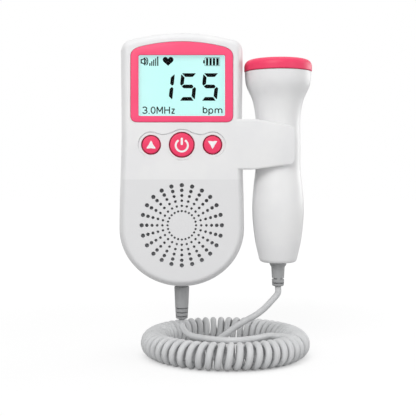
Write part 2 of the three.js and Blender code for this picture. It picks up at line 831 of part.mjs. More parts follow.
// Conical contact spring between a plate and the flat end of a cell
function contactSpring(x, plateZ, towards) {
  const steps = Math.round(springTurns * stepsPerCurl);
  const centres = [];
  const outwards = [];
  for (let i = 0; i <= steps; i += 1) {
    const share = i / steps;
    const angle = Math.PI * 2 * springTurns * share;
    const radius = THREE.MathUtils.lerp(springRadius, springTipRadius, share);
    const outward = new THREE.Vector3(Math.cos(angle), Math.sin(angle), 0);
    const rise = springWire / 2 + (springLength - springWire) * share;
    const centre = new THREE.Vector3(x, cellAxisY, plateZ + towards * rise);
    centres.push(centre.addScaledVector(outward, radius));
    outwards.push(outward);
  }
  return tubeThrough(centres, outwards, springWire / 2, curlSides);
}

function bridgePlate() {
  const z = bayBottom + fitGap;
  return block(-bridgeHalfWidth, bridgeHalfWidth, cellAxisY - bridgeHalfDepth,
    cellAxisY + bridgeHalfDepth, z, z + contactThickness);
}

function topContact(x) {
  const z = bayTop - fitGap;
  return turnedZ([
    [0, z - contactThickness], [contactRadius, z - contactThickness], [contactRadius, z], [0, z],
  ], x, cellAxisY, smallSides);
}

// Battery door: a plate with two tabs under the lower lip, a latch tongue and a grooved thumb grip
function batteryDoor() {
  let door = plateY(
    roundedRectangle(-doorHalfWidth, doorHalfWidth, doorBottom, doorTop, doorCorner),
    -doorThickness, 0,
  );
  for (const x of [-tabSpacing / 2, tabSpacing / 2]) {
    const root = block(x - tabHalfWidth, x + tabHalfWidth, tabRear - tabThickness,
      halfGap - doorThickness, doorBottom, doorBottom + tabReach);
    const tongue = block(x - tabHalfWidth, x + tabHalfWidth, tabRear - tabThickness, tabRear,
      doorBottom - tabReach, doorBottom + halfGap);
    door = joined(door, root, tongue);
  }
  const latch = block(-latchHalfWidth, latchHalfWidth, -doorThickness - latchDepth,
    halfGap - doorThickness, doorTop - latchHeight + fitGap, doorTop);
  const grooves = Array.from({ length: gripGrooves }, (_, i) => {
    const z = doorTop - gripInset - i * gripGroovePitch;
    return block(-gripGrooveHalfWidth, gripGrooveHalfWidth, -gripGrooveDepth, cutOverrun,
      z - gripGrooveHeight, z);
  });
  return cut(door.add(latch), ...grooves);
}

// Pan-head screw along Y with a straight slot; its tip points to the front
function screw(x, z, head, shank) {
  const seat = shank.seat;
  const slot = block(x - head.radius * 2, x + head.radius * 2, seat + head.thickness - head.slotDepth,
    seat + head.thickness + cutOverrun, z - head.slotWidth / 2, z + head.slotWidth / 2);
  return turnedY([
    [0, seat - shank.length], [shank.radius / 2, seat - shank.length],
    [shank.radius, seat - shank.length + shank.radius], [shank.radius, seat],
    [head.radius, seat], [head.radius * headShoulderShare, seat + head.thickness],
    [0, seat + head.thickness],
  ], x, z, postSides).subtract(slot);
}

function housingScrew(x, z) {
  return screw(x, z, {
    radius: screwHeadRadius,
    thickness: screwHeadThickness,
    slotWidth: screwSlotWidth,
    slotDepth: screwSlotDepth,
  }, { radius: screwRadius, length: screwLength, seat: fitGap - screwHeadDepth });
}

function boardScrew(x, z) {
  return screw(x, z, {
    radius: boardScrewHeadRadius,
    thickness: boardScrewHeadThickness,
    slotWidth: screwSlotWidth,
    slotDepth: screwSlotDepth,
  }, {
    radius: boardScrewRadius,
    length: boardThickness + fitGap + boardScrewBite,
    seat: boardRear + fitGap,
  });
}

// Earphone socket: a bored barrel in the side wall, held by a flange inside it
function earphoneSocket() {
  const mouth = -shoulderHalfWidth - socketProud;
  const flange = housingWall + fitGap - waistHalfWidth;
  const boreEnd = mouth + socketBoreDepth;
  const collar = socketRadius + socketFlange;
  const barrel = revolved([
    [0, boreEnd], [socketBoreRadius, boreEnd], [socketBoreRadius, mouth], [socketRadius, mouth],
    [socketRadius, flange], [collar, flange], [collar, flange + socketFlangeThickness],
    [socketRadius, flange + socketFlangeThickness], [socketRadius, mouth + socketLength],
    [0, mouth + socketLength],
  ], barrelSides);
  return solidOf(barrel.rotateZ(-Math.PI / 2).translate(0, middlePlane, socketHeight));
}

// Grooves cut all round a strain relief, listed as profile points from the lowest up
function groovedRun(lowest, radiusAt, count) {
  const points = [];
  for (let i = count - 1; i >= 0; i -= 1) {
    const middle = lowest + reliefGroovePitch * (count - i) - reliefGroovePitch / 2;
    const low = middle - reliefGrooveWidth / 2;
    const high = middle + reliefGrooveWidth / 2;
    const floor = radiusAt(middle) - reliefGrooveDepth;
    points.push([radiusAt(low), low], [floor, low], [floor, high], [radiusAt(high), high]);
  }
  return points;
}

function unitStrainRelief() {
  const taperEnd = reliefTop - reliefTaperLength;
  const radiusAt = (z) => THREE.MathUtils.mapLinear(z, reliefEnd, taperEnd, reliefEndRadius,
    reliefMiddleRadius);
  const collar = bodyBottom + housingWall + 2 * fitGap; // the wall curves up beside it
  return turnedZ([
    [0, reliefEnd], [reliefEndRadius, reliefEnd],
    ...groovedRun(reliefEnd, radiusAt, reliefGrooves),
    [reliefMiddleRadius, taperEnd], [reliefTopRadius, reliefTop],
    [reliefNeckRadius, reliefTop], [reliefNeckRadius, collar], [reliefCollarRadius, collar],
    [reliefCollarRadius, collar + reliefCollarThickness], [0, collar + reliefCollarThickness],
  ], 0, middlePlane, reliefSides);
}

function probeStrainRelief() {
  const flangeBottom = probeReliefTop - probeReliefFlangeLength;
  const grooveTop = probeReliefTop - probeReliefGrooveStart;
  const radiusAt = (z) => THREE.MathUtils.mapLinear(z, probeReliefEnd, flangeBottom,
    probeReliefEndRadius, probeReliefBodyRadius);
  const grooves = Math.floor((grooveTop - probeReliefEnd) / reliefGroovePitch);
  const collar = probeBottom + probeWall + fitGap;
  return turnedZ([
    [0, probeReliefEnd], [probeReliefEndRadius, probeReliefEnd],
    ...groovedRun(probeReliefEnd, radiusAt, grooves),
    [probeReliefBodyRadius, flangeBottom - probeReliefFlangeLength],
    [probeReliefFlangeRadius, flangeBottom], [probeReliefFlangeRadius, probeReliefTop],
    [reliefNeckRadius, probeReliefTop], [reliefNeckRadius, collar], [reliefCollarRadius, collar],
    [reliefCollarRadius, collar + reliefCollarThickness], [0, collar + reliefCollarThickness],
  ], probeAxisX, middlePlane, reliefSides);
}

// Probe: one turned shell with a waist for the clip, split into two halves
function probeProfile(inset, steps) {
  const lower = new THREE.SplineCurve([
    new THREE.Vector2(probeRumpRadius, probeRumpHeight),
    new THREE.Vector2(probeLowerBellyRadius, probeLowerBellyHeight),
    new THREE.Vector2(probeBellyRadius, probeBellyHeight),
    new THREE.Vector2(probeUpperBellyRadius, probeUpperBellyHeight),
    new THREE.Vector2(probeNeckRadius, probeNeckBottom),
  ]).getPoints(steps);
  const upper = new THREE.SplineCurve([
    new THREE.Vector2(probeNeckRadius, probeNeckTop),
    new THREE.Vector2(probeShoulderRadius, probeShoulderHeight),
    new THREE.Vector2(probeFlareRadius, probeFlareHeight),
    new THREE.Vector2(probeHeadRadius, probeHeadTop),
  ]).getPoints(steps);
  return [...lower, ...upper].map((point) => [point.x - inset, point.y]);
}

function probeShell() {
  const outside = [[0, probeBottom], [probeTailRadius, probeBottom], ...probeProfile(0, 8),
    [0, probeHeadTop]];
  const hollow = probeProfile(probeWall, 4).filter(([, z]) => z > probeBottom + probeWall);
  const mouth = probeHeadTop + cutOverrun;
  const inside = [
    [0, probeBottom + probeWall], [probeTailRadius - probeWall, probeBottom + probeWall], ...hollow,
    [probeHeadRadius - probeWall, mouth], [0, mouth],
  ];
  const passage = turnedZ([
    [0, probeBottom - cutOverrun], [reliefNeckRadius + fitGap, probeBottom - cutOverrun],
    [reliefNeckRadius + fitGap, probeBottom + probeWall + cutOverrun],
    [0, probeBottom + probeWall + cutOverrun],
  ], probeAxisX, middlePlane, smallSides);
  return cut(
    turnedZ(outside, probeAxisX, middlePlane, turnedSides),
    turnedZ(inside, probeAxisX, middlePlane, roundSides),
    passage,
  );
}

const wholeProbe = probeShell();

function probeHalf(front) {
  const half = front
    ? block(-reach, reach, middlePlane - reach, middlePlane - halfGap, -reach, reach)
    : block(-reach, reach, middlePlane + halfGap, middlePlane + reach, -reach, reach);
  return wholeProbe.intersect(half);
}

// Cap: a shallow cup turned over, its rim rounded, its spigot inside the head
const capBottom = probeHeadTop + fitGap;
const capTop = capBottom + capHeight;
const spigotRadius = probeHeadRadius - probeWall - fitGap;

function probeCap() {
  const side = capTop - capCrown - capRimRound;
  const rim = [];
  const rimSteps = 4;
  for (let i = 0; i <= rimSteps; i += 1) {
    const angle = ((Math.PI / 2) * i) / rimSteps;
    rim.push([
      capRadius - capRimRound * (1 - Math.cos(angle)),
      side + capRimRound * Math.sin(angle),
    ]);
  }
  const spigotBottom = capBottom - capSpigotDepth;
  const hollow = spigotRadius - capWall;
  return turnedZ([
    [0, capTop - capCrown - capWall], [hollow, capTop - capCrown - capWall], [hollow, spigotBottom],
    [spigotRadius, spigotBottom], [spigotRadius, capBottom], [capRadius, capBottom],
    ...rim, [capRadius / 2, capTop - capCrown / 3], [0, capTop],
  ], probeAxisX, middlePlane, turnedSides);
}

// Transducer: two half-round crystals side by side on one backing disc
const crystalTop = capTop - capCrown - capWall - fitGap;
const backingTop = crystalTop - crystalThickness - fitGap;

function disc(radius, low, high, sides) {
  return turnedZ([[0, low], [radius, low], [radius, high], [0, high]], probeAxisX, middlePlane, sides);
}

function crystal(side) {
  const inner = probeAxisX + (side * crystalSplit) / 2;
  const outer = inner + side * reach;
  const half = block(Math.min(inner, outer), Math.max(inner, outer), -reach, reach, -reach, reach);
  return disc(crystalRadius, crystalTop - crystalThickness, crystalTop, roundSides).intersect(half);
}

function transducerBacking() {
  return disc(spigotRadius - capWall - fitGap, backingTop - backingThickness, backingTop, roundSides);
}

function probeBoard() {
  const top = backingTop - backingThickness - probeBoardDrop;
  return block(probeAxisX - probeBoardHalfWidth, probeAxisX + probeBoardHalfWidth,
    middlePlane - probeBoardThickness / 2, middlePlane + probeBoardThickness / 2,
    top - probeBoardLength, top);
}

// Curly cord: one tube wound round a ring that lies flat, from the unit's lead to the probe's lead
function coilPoint(turn) {
  const around = ringStart - (ringSweep * turn) / curls;
  const wind = Math.PI / 2 - Math.PI * 2 * turn;
  const spoke = new THREE.Vector3(Math.cos(around), Math.sin(around), 0);
  const outward = spoke.clone().multiplyScalar(Math.cos(wind));
  outward.z = Math.sin(wind);
  const centre = new THREE.Vector3(ringCentreX, middlePlane, ringHeight);
  centre.addScaledVector(spoke, ringRadius).addScaledVector(outward, curlRadius);
  return { centre, outward };
}

function coilDirection(turn) {
  const small = 0.25 / stepsPerCurl;
  return coilPoint(turn + small).centre.sub(coilPoint(turn - small).centre).normalize();
}

const coilStart = coilPoint(0);
const coilEnd = coilPoint(curls);
const startDirection = coilDirection(0);
const endDirection = coilDirection(curls);

function curlyCord() {
  const steps = curls * stepsPerCurl;
  const turns = Array.from({ length: steps + 1 }, (_, i) => coilPoint((curls * i) / steps));
  const lead = coilStart.centre.clone().addScaledVector(startDirection, -cordDiameter);
  const tail = coilEnd.centre.clone().addScaledVector(endDirection, cordDiameter);
  const centres = [lead, ...turns.map((turn) => turn.centre), tail];
  const outwards = [coilStart.outward, ...turns.map((turn) => turn.outward), coilEnd.outward];
  return tubeThrough(centres, outwards, cordDiameter / 2, curlSides);
}

// A round tube along a smooth curve through a route, as an extruded section
function leadTube(points, steps) {
  const section = new THREE.Shape();
  for (let i = 0; i < tubeSides; i += 1) {
    const angle = (Math.PI * 2 * i) / tubeSides;
    const x = (cordDiameter / 2) * Math.cos(angle);
    const y = (cordDiameter / 2) * Math.sin(angle);
    if (i === 0) section.moveTo(x, y);
    else section.lineTo(x, y);
  }
  const extrudePath = new THREE.CatmullRomCurve3(points);
  return solidOf(new THREE.ExtrudeGeometry(section, { steps, bevelEnabled: false, extrudePath }));
}

function routePoints(route) {
  return route.map(([x, y, z]) => new THREE.Vector3(x, y, z));
}

const leadGap = cordDiameter + fitGap; // from a coil end's last curl point to the lead's end face
const unitLeadPoints = [
  new THREE.Vector3(0, middlePlane, reliefEnd - fitGap),
  new THREE.Vector3(0, middlePlane, reliefEnd - fitGap - cordDiameter),
  ...routePoints(unitLeadRoute),
  coilStart.centre.clone().addScaledVector(startDirection, -leadGap - cordDiameter),
  coilStart.centre.clone().addScaledVector(startDirection, -leadGap),
];
const probeLeadPoints = [
  coilEnd.centre.clone().addScaledVector(endDirection, leadGap),
  coilEnd.centre.clone().addScaledVector(endDirection, leadGap + cordDiameter),
  ...routePoints(probeLeadRoute),
  new THREE.Vector3(probeAxisX, middlePlane, probeReliefEnd - fitGap - cordDiameter),
  new THREE.Vector3(probeAxisX, middlePlane, probeReliefEnd - fitGap),
];

// The least distance between two stretches of the cord, less its diameter, on finely spaced points
const finePoints = 4; // between two steps of a curl

function coilPoints() {
  const steps = curls * stepsPerCurl;
  const points = [];
  for (let i = 0; i < steps; i += 1) {
    const from = coilPoint((curls * i) / steps).centre;
    const to = coilPoint((curls * (i + 1)) / steps).centre;
    for (let j = 0; j < finePoints; j += 1) points.push(from.clone().lerp(to, j / finePoints));
  }
  return points;
}

function leastGap(first, second, skip) {
  let least = Infinity;
  first.forEach((a, i) => {
    for (let j = skip ? i + skip : 0; j < second.length; j += 1) {
      least = Math.min(least, a.distanceTo(second[j]));
    }
  });
  return least - cordDiameter;
}

const windings = coilPoints();
const halfCurl = finePoints * (stepsPerCurl / 2);
const leadFinePoints = 200;
const unitLeadLine = new THREE.CatmullRomCurve3(unitLeadPoints);
const probeLeadLine = new THREE.CatmullRomCurve3(probeLeadPoints);
const unitLeadFine = unitLeadLine.getSpacedPoints(leadFinePoints);
const probeLeadFine = probeLeadLine.getSpacedPoints(leadFinePoints);
const coilLength = windings.slice(1).reduce((sum, point, i) => sum + point.distanceTo(windings[i]), 0);
const gaps = {
  "the curls to themselves": leastGap(windings, windings, halfCurl),
  "the unit lead to the curls": leastGap(unitLeadFine, windings, 0),
  "the probe lead to the curls": leastGap(probeLeadFine, windings, 0),
  "the leads to each other": leastGap(unitLeadFine, probeLeadFine, 0),
};
for (const [pair, gap] of Object.entries(gaps)) console.log(`least gap of ${pair} ${gap.toFixed(3)} mm`);
console.log(`lengths: unit lead ${unitLeadLine.getLength().toFixed(1)}, curls ${coilLength.toFixed(1)}, `
  + `probe lead ${probeLeadLine.getLength().toFixed(1)} mm`);

// Main unit, outside
addPiece("front_cover", frontCover(), finishes.housing);
addPiece("rear_cover", rearCover(), finishes.housing);
addPiece("speaker_grille", speakerGrille(), finishes.housing);
addPiece("screen_frame", cut(
  plateY(screenShape(0), frameFront, frameRear, shapeSteps),
  plateY(windowShape(0), frameFront - cutOverrun, frameRear + cutOverrun),
), finishes.pink);
addPiece("screen_lens", plateY(windowShape(-fitGap), frameRear - lensThickness, frameRear), finishes.glass);
for (const [name, x, radius] of buttons) {
  addPiece(`${name}_button`, buttonSolid(x, radius), finishes.pink);
}
addPiece("battery_cover", batteryDoor(), finishes.housing);
addPiece("earphone_socket", earphoneSocket(), finishes.dark);
housingScrews.forEach(([x, z], i) => {
  addPiece(`housing_screw_${i + 1}`, housingScrew(x, z), finishes.steel);
});

// Main unit, inside
const panelShape = windowShape(lcdBorder);
addPiece("lcd_panel", plateY(panelShape, lcdFront, lcdFront + lcdThickness, 1), finishes.glass);
addPiece("lcd_backlight", plateY(panelShape, backlightFront, backlightFront + backlightThickness, 1),
  finishes.diffuser);
addPiece("main_board", mainBoard(), finishes.board);
addPiece("processor_chip", block(-processorSize / 2, processorSize / 2, boardRear + fitGap,
  boardRear + fitGap + chipThickness, processorHeight - processorSize / 2,
  processorHeight + processorSize / 2), finishes.dark);
addPiece("amplifier_chip", block(amplifierX - amplifierWidth / 2, amplifierX + amplifierWidth / 2,
  boardRear + fitGap, boardRear + fitGap + chipThickness, amplifierHeight - amplifierLength / 2,
  amplifierHeight + amplifierLength / 2), finishes.dark);
for (const [name, x] of buttons) addPiece(`${name}_switch`, switchSolid(x), finishes.dark);
boardScrews.forEach(([x, z], i) => {
  addPiece(`board_screw_${i + 1}`, boardScrew(x, z), finishes.steel);
});
addPiece("speaker_gasket", speakerGasket(), finishes.foam);
addPiece("speaker_frame", speakerFrame(), finishes.steel);
addPiece("speaker_cone", speakerCone(), finishes.dark);
addPiece("speaker_magnet", speakerMagnet(), finishes.steel);
const leftCellX = -cellSpacing / 2;
const rightCellX = cellSpacing / 2;
addPiece("battery_cell_1", turnedZ(cellProfile(), leftCellX, cellAxisY, cellSides), finishes.cell);
addPiece("battery_cell_2", turnedZ(invertedProfile(), rightCellX, cellAxisY, cellSides), finishes.cell);
addPiece("battery_bridge_plate", bridgePlate(), finishes.steel);
addPiece("battery_contact_positive", topContact(leftCellX), finishes.steel);
addPiece("battery_contact_negative", topContact(rightCellX), finishes.steel);
addPiece("battery_spring_lower", contactSpring(leftCellX, springBottom, 1), finishes.steel);
addPiece("battery_spring_upper", contactSpring(rightCellX, cellTop, -1), finishes.steel);

// Cord
addPiece("unit_strain_relief", unitStrainRelief(), finishes.relief);
addPiece("unit_lead", leadTube(unitLeadPoints, unitLeadSteps), finishes.cord);
addPiece("curly_cord", curlyCord(), finishes.cord);
addPiece("probe_lead", leadTube(probeLeadPoints, probeLeadSteps), finishes.cord);

// Probe
addPiece("probe_front_shell", probeHalf(true), finishes.housing);
addPiece("probe_rear_shell", probeHalf(false), finishes.housing);
addPiece("probe_cap", probeCap(), finishes.pink);
addPiece("transducer_crystal_1", crystal(-1), finishes.ceramic);
addPiece("transducer_crystal_2", crystal(1), finishes.ceramic);
addPiece("transducer_backing", transducerBacking(), finishes.dark);
addPiece("probe_board", probeBoard(), finishes.board);
addPiece("probe_strain_relief", probeStrainRelief(), finishes.relief);

part.name = "fetal_doppler";
export default part;
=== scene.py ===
import math

import bmesh
import bpy
import numpy as np
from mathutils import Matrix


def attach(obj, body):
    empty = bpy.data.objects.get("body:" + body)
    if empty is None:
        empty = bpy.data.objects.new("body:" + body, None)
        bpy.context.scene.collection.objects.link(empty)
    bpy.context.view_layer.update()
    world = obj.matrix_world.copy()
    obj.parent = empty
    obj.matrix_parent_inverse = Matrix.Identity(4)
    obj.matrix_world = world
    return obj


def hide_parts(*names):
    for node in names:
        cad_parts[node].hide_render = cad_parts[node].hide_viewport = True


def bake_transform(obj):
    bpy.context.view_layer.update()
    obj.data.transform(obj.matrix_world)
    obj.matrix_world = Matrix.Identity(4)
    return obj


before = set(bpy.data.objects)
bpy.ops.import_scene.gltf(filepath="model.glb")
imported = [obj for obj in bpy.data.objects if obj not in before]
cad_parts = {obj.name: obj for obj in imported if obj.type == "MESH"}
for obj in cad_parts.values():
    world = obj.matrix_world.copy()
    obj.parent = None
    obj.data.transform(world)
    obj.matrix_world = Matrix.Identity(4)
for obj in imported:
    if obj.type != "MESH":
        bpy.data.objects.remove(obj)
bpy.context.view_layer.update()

mm = 0.001  # shapes are worked out in millimetres and stored in metres
fullTurn, quarterTurn = 2 * math.pi, math.pi / 2
middle = -15  # depth of the plane that parts the covers and holds the probe's axis
probeX = 50.8  # where the probe's axis is
keyRow, keySpacing = -29.5, 15.7
foldZ = -47.2  # height at which the front face folds back; below it the front face's colour is painted a shade darker

# Camera: level, straight at the front, its frame shifted down and to the right
camera = {"place": (0, -474, -44.35), "lens": 75.2, "sensor": 36, "shift": (0.063, -0.082)}


def placed(name, data, place, turn):
    # a camera or a lamp, put at a place in millimetres
    holder = bpy.data.objects.new(name, data)
    holder.location = np.array(place) * mm
    holder.rotation_euler = turn
    bpy.context.scene.collection.objects.link(holder)
    return holder


eye = bpy.data.cameras.new("camera")
eye.lens, eye.sensor_width = camera["lens"], camera["sensor"]
eye.shift_x, eye.shift_y = camera["shift"]
eye.clip_start, eye.clip_end = 0.01, 20
bpy.context.scene.camera = placed("camera", eye, camera["place"], (quarterTurn, 0, 0))
print("camera placed")


# Finishes


class Term:
    # A number that varies over a surface; arithmetic on it adds Math nodes
    def __init__(self, finish, socket):
        self.finish, self.socket = finish, socket

    def math(self, operation, *values):
        return self.finish.node("Math", {"operation": operation}, dict(enumerate(values)))

    def __add__(self, other):
        return self.math("ADD", self, other)

    def __sub__(self, other):
        return self.math("SUBTRACT", self, other)

    def __rsub__(self, other):
        return self.math("SUBTRACT", other, self)

    def __mul__(self, other):
        return self.math("MULTIPLY", self, other)

    __radd__, __rmul__ = __add__, __mul__

    def between(self, low, high):
        # 0 below low, 1 above high, smooth in between
        return self.finish.node("MapRange", {"interpolation_type": "SMOOTHSTEP"},
                                {"Value": self, "From Min": low, "From Max": high})


def colour(display):
    # three display values from 0 to 255 as the renderer's linear ones; four values are linear already
    if len(display) == 4:
        return display
    shares = np.array(display) / 255
    linear = np.where(shares <= 0.04045, shares / 12.92, ((shares + 0.055) / 1.055) ** 2.4)
    return (*linear.tolist(), 1)


class Recipe:
    # The nodes of one material or of the room's light
    def __init__(self, owner, outputKind):
        owner.use_nodes = True
        self.tree = owner.node_tree
        self.tree.nodes.clear()
        self.output = self.tree.nodes.new(outputKind)

    def feed(self, node, inputs):
        for key, value in inputs.items():
            if isinstance(value, Term):
                self.tree.links.new(value.socket, node.inputs[key])
            else:
                node.inputs[key].default_value = value

    def node(self, kind, settings, inputs, output=0):
        node = self.tree.nodes.new("ShaderNode" + kind)
        for key, value in settings.items():
            setattr(node, key, value)
        self.feed(node, inputs)
        return Term(self, node.outputs[output])


class Finish(Recipe):
    # One procedural material: constants sit on the shader's own sockets, and what varies is linked
    def __init__(self, name, constants):
        self.material = bpy.data.materials.new(name)
        super().__init__(self.material, "ShaderNodeOutputMaterial")
        self.shader = self.tree.nodes.new("ShaderNodeBsdfPrincipled")
        self.feed(self.output, {"Surface": Term(self, self.shader.outputs[0])})
        self.feed(self.shader, constants)

    def vary(self, **links):
        names = {"base": "Base Color", "rough": "Roughness", "glow": "Emission Color", "normal": "Normal"}
        self.feed(self.shader, {names[key]: value for key, value in links.items()})
        return self

    def twoTone(self, share, first, second, rough, height, depth):
        # two tones mixed by a share, a gloss, and a relief of the given height and depth
        return self.vary(base=self.mix(share, first, second), rough=rough, normal=self.bump(height, depth))

    def onePattern(self, pattern, first, second, rough, spread, depth):
        # tone, gloss and relief that all follow one pattern
        return self.twoTone(pattern, first, second, rough + spread * pattern, pattern, depth)

    def spots(self, scale=(1, 1, 1), turn=(0, 0, 0), shift=(0, 0, 0)):
        # Object coordinates, stretched, turned and shifted
        here = self.node("TexCoord", {}, {}, "Object")
        place = {"Vector": here, "Scale": scale, "Rotation": turn, "Location": shift}
        return self.node("Mapping", {}, place)

    def noise(self, scale, detail=2.0, stretch=(1, 1, 1)):
        return self.node("TexNoise", {}, {"Vector": self.spots(stretch), "Scale": scale, "Detail": detail})

    def cells(self, scale, distance="EUCLIDEAN"):
        return self.node("TexVoronoi", {"distance": distance}, {"Vector": self.spots(), "Scale": scale})

    def mix(self, share, first, second):
        tones = [tone if isinstance(tone, Term) else colour(tone) for tone in (first, second)]
        return self.node("Mix", {"data_type": "RGBA"}, {0: share, 6: tones[0], 7: tones[1]}, 2)

    def bump(self, height, depth):
        return self.node("Bump", {}, {"Height": height, "Distance": depth * mm, "Strength": 1.0})

    def place(self, axis):
        return self.node("SeparateXYZ", {}, {"Vector": self.spots()}, axis)


def mouldedPlastic(name, light, dark, rough, grain=0.012, coat=0.0, paintedLowerShade=None):
    # Moulded plastic: a fine spark-eroded grain, faint clouding in the colour, gloss that wanders a little;
    # a painted shade darkens the front face below its fold, where it leans back and takes less light
    finish = Finish(name, {"IOR": 1.46, "Coat Weight": coat, "Coat Roughness": 0.12})
    clouds, fine = finish.noise(60, 3), finish.noise(2600, 2)
    base = finish.mix(clouds.between(0.3, 0.7), light, dark)
    if paintedLowerShade:
        # painted shade: below the fold the front face's colour is darkened, standing in for the light it
        # loses as it leans back
        below = 1 - finish.place("Z").between((foldZ - 0.08) * mm, (foldZ + 0.04) * mm)
        ahead = 1 - finish.place("Y").between(-28.4 * mm, -26.2 * mm)  # the front face and its rounded edge
        base = finish.mix(below * ahead, base, paintedLowerShade)
    return finish.vary(base=base, rough=rough - 0.05 + 0.1 * clouds + 0.05 * fine,
                       normal=finish.bump(fine, grain))


def brushedSteel(name, light, dark, rough):
    # Brushed steel: fine lines across one axis, and duller patches of a darker tone
    finish = Finish(name, {"Metallic": 1.0})
    lines, stains = finish.noise(900, 2, (1, 12, 1)), finish.noise(240, 4)
    gloss = rough + 0.12 * stains + 0.06 * lines
    return finish.twoTone(stains.between(0.35, 0.7), light, dark, gloss, lines, 0.006)


def cordSkin():
    # Soft extruded skin: fine lines along the cord, a dull bloom in patches
    finish = Finish("cordSkin", {"IOR": 1.48, "Sheen Weight": 0.08, "Sheen Roughness": 0.5})
    along = finish.node("UVMap", {"uv_map": "along"}, {})
    drawn = finish.node("Mapping", {}, {"Vector": along, "Scale": (0.05, 26, 1)})
    lines = finish.node("TexNoise", {}, {"Vector": drawn, "Scale": 1.0, "Detail": 2.0})
    bloom = finish.noise(110, 3)
    return finish.twoTone(bloom.between(0.3, 0.75), (213, 214, 215), (203, 204, 205),
                          0.42 + 0.14 * bloom + 0.06 * lines, lines, 0.02)


def litDisplay():
    # Liquid crystal cell over its backlight: even cyan light, clouded a little, and a faint pixel grid
    finish = Finish("litDisplay", {"Roughness": 0.32, "Emission Strength": 0.62, "IOR": 1.5})
    clouds = finish.noise(35, 2)
    grid = finish.node("TexBrick", {"offset": 0.0}, {
        "Vector": finish.spots(turn=(quarterTurn, 0, 0)), "Scale": 1.0, "Mortar Size": 0.00001,
        "Brick Width": 0.00045, "Row Height": 0.00045,
        "Color1": (1, 1, 1, 1), "Color2": (1, 1, 1, 1), "Mortar": (0, 0, 0, 1),
    }, "Fac")
    tone = finish.mix(clouds.between(0.2, 0.8), (200, 254, 250), (208, 255, 253))
    return finish.vary(base=finish.mix(grid * 0.2, (150, 196, 192), (140, 184, 180)),
                       glow=finish.mix(grid * 0.06, tone, (150, 220, 216)))


def printedInk(name, tone, rough, gloss=0.5):
    # Printed ink: one tone with a fine mottle a tenth darker
    finish = Finish(name, {"IOR": 1.5, "Specular IOR Level": gloss})
    fine = finish.noise(1800, 3)
    darker = (*[0.9 * value for value in colour(tone)[:3]], 1)
    return finish.twoTone(fine.between(0.2, 0.9), tone, darker, rough + 0.1 * fine, fine, 0.004)


def clearWindow():
    # Acrylic window: nearly all light goes through, and what stays is gloss with a few hairline scratches
    finish = Finish("clearWindow", {"Base Color": colour((30, 36, 36)), "Alpha": 0.05, "IOR": 1.49})
    hairs = finish.noise(700, 2, (1, 1, 14))
    return finish.vary(rough=0.05 + 0.05 * hairs, normal=finish.bump(hairs, 0.002))


def wovenCloth():
    # Acoustic cloth: two crossed sets of fine threads
    finish = Finish("wovenCloth", {"IOR": 1.3, "Sheen Weight": 0.2, "Sheen Roughness": 0.6})
    warp, weft = (finish.node("TexWave", {"wave_type": "BANDS", "bands_direction": way},
                              {"Vector": finish.spots(), "Scale": 620.0}) for way in "XZ")
    return finish.onePattern(warp * weft, (96, 97, 99), (158, 159, 162), 0.75, 0.2, 0.05)


def circuitBoard():
    # Solder mask over copper: tracks as crossing bands, broken up so that they turn and stop
    finish = Finish("circuitBoard", {"IOR": 1.5, "Coat Weight": 0.25, "Coat Roughness": 0.2})
    blocks = finish.cells(330.0, "MANHATTAN")
    tracks = blocks.between(0.34, 0.4) - blocks.between(0.46, 0.52)
    gloss = 0.3 + 0.15 * finish.noise(1500, 2)
    return finish.twoTone(tracks, (24, 92, 52), (48, 128, 76), gloss, tracks, 0.03)


def cellJacket():
    # Plain printed jacket: copper-toned above one height, graphite below
    finish = Finish("cellJacket", {"Metallic": 0.55, "Coat Weight": 0.4, "Coat Roughness": 0.1})
    copper, fine = finish.place("Z").between(-51 * mm, -50.6 * mm), finish.noise(700, 2)
    return finish.twoTone(copper, (52, 54, 58), (196, 128, 70), 0.26 + 0.12 * fine, fine, 0.004)


white, offWhite = (238, 238, 238), (234, 234, 235)
housingPlastic = mouldedPlastic("housingPlastic", white, offWhite, 0.36)
# the front face's plastic, with a painted shade below its fold
facePlastic = mouldedPlastic("facePlastic", white, offWhite, 0.36, paintedLowerShade=(229, 229, 230))
framePink = mouldedPlastic("framePink", (255, 80, 126), (252, 75, 120), 0.34, 0.006, 0.1)
keyPink = mouldedPlastic("keyPink", (246, 60, 106), (240, 54, 100), 0.4, 0.008)
capPink = mouldedPlastic("capPink", (246, 62, 106), (240, 56, 100), 0.4, 0.006)
reliefRubber = mouldedPlastic("reliefRubber", (166, 167, 168), (157, 158, 159), 0.55, 0.02)
darkPlastic = mouldedPlastic("darkPlastic", (34, 35, 37), (44, 45, 47), 0.45, 0.015)
diffuserSheet = mouldedPlastic("diffuserSheet", (244, 248, 248), (236, 242, 242), 0.6)
plateSteel = brushedSteel("plateSteel", (206, 208, 211), (170, 172, 176), 0.24)
screwSteel = brushedSteel("screwSteel", (190, 192, 196), (120, 122, 126), 0.3)
speakerSteel = brushedSteel("speakerSteel", (150, 152, 156), (110, 112, 116), 0.34)
cordFinish, displayFinish, windowFinish = cordSkin(), litDisplay(), clearWindow()
clothFinish, boardFinish, jacketFinish = wovenCloth(), circuitBoard(), cellJacket()
ceramicFinish, foamFinish, paperFinish = (
    Finish(name, {"IOR": index}) for name, index in
    (("dryCeramic", 1.6), ("openFoam", 1.3), ("pressedPaper", 1.4)))
ceramicFinish.onePattern(ceramicFinish.noise(2200, 4), (212, 205, 184), (226, 220, 202), 0.5, 0.25, 0.02)
foamFinish.onePattern(foamFinish.cells(1900.0), (24, 24, 26), (66, 66, 68), 0.85, 0.1, 0.15)
paperFinish.onePattern(paperFinish.noise(1300, 5, (1, 1, 3)), (26, 26, 28), (58, 57, 56), 0.7, 0.2, 0.06)
blackInk = printedInk("blackInk", (5, 6, 7), 0.6, 0.05)
greyInk = printedInk("greyInk", (22, 26, 28), 0.6, 0.05)
whiteInk = printedInk("whiteInk", (252, 250, 251), 0.4)
print("finishes made")


# Shapes: each is (points in millimetres, faces), and a front-view line is an array of x and z


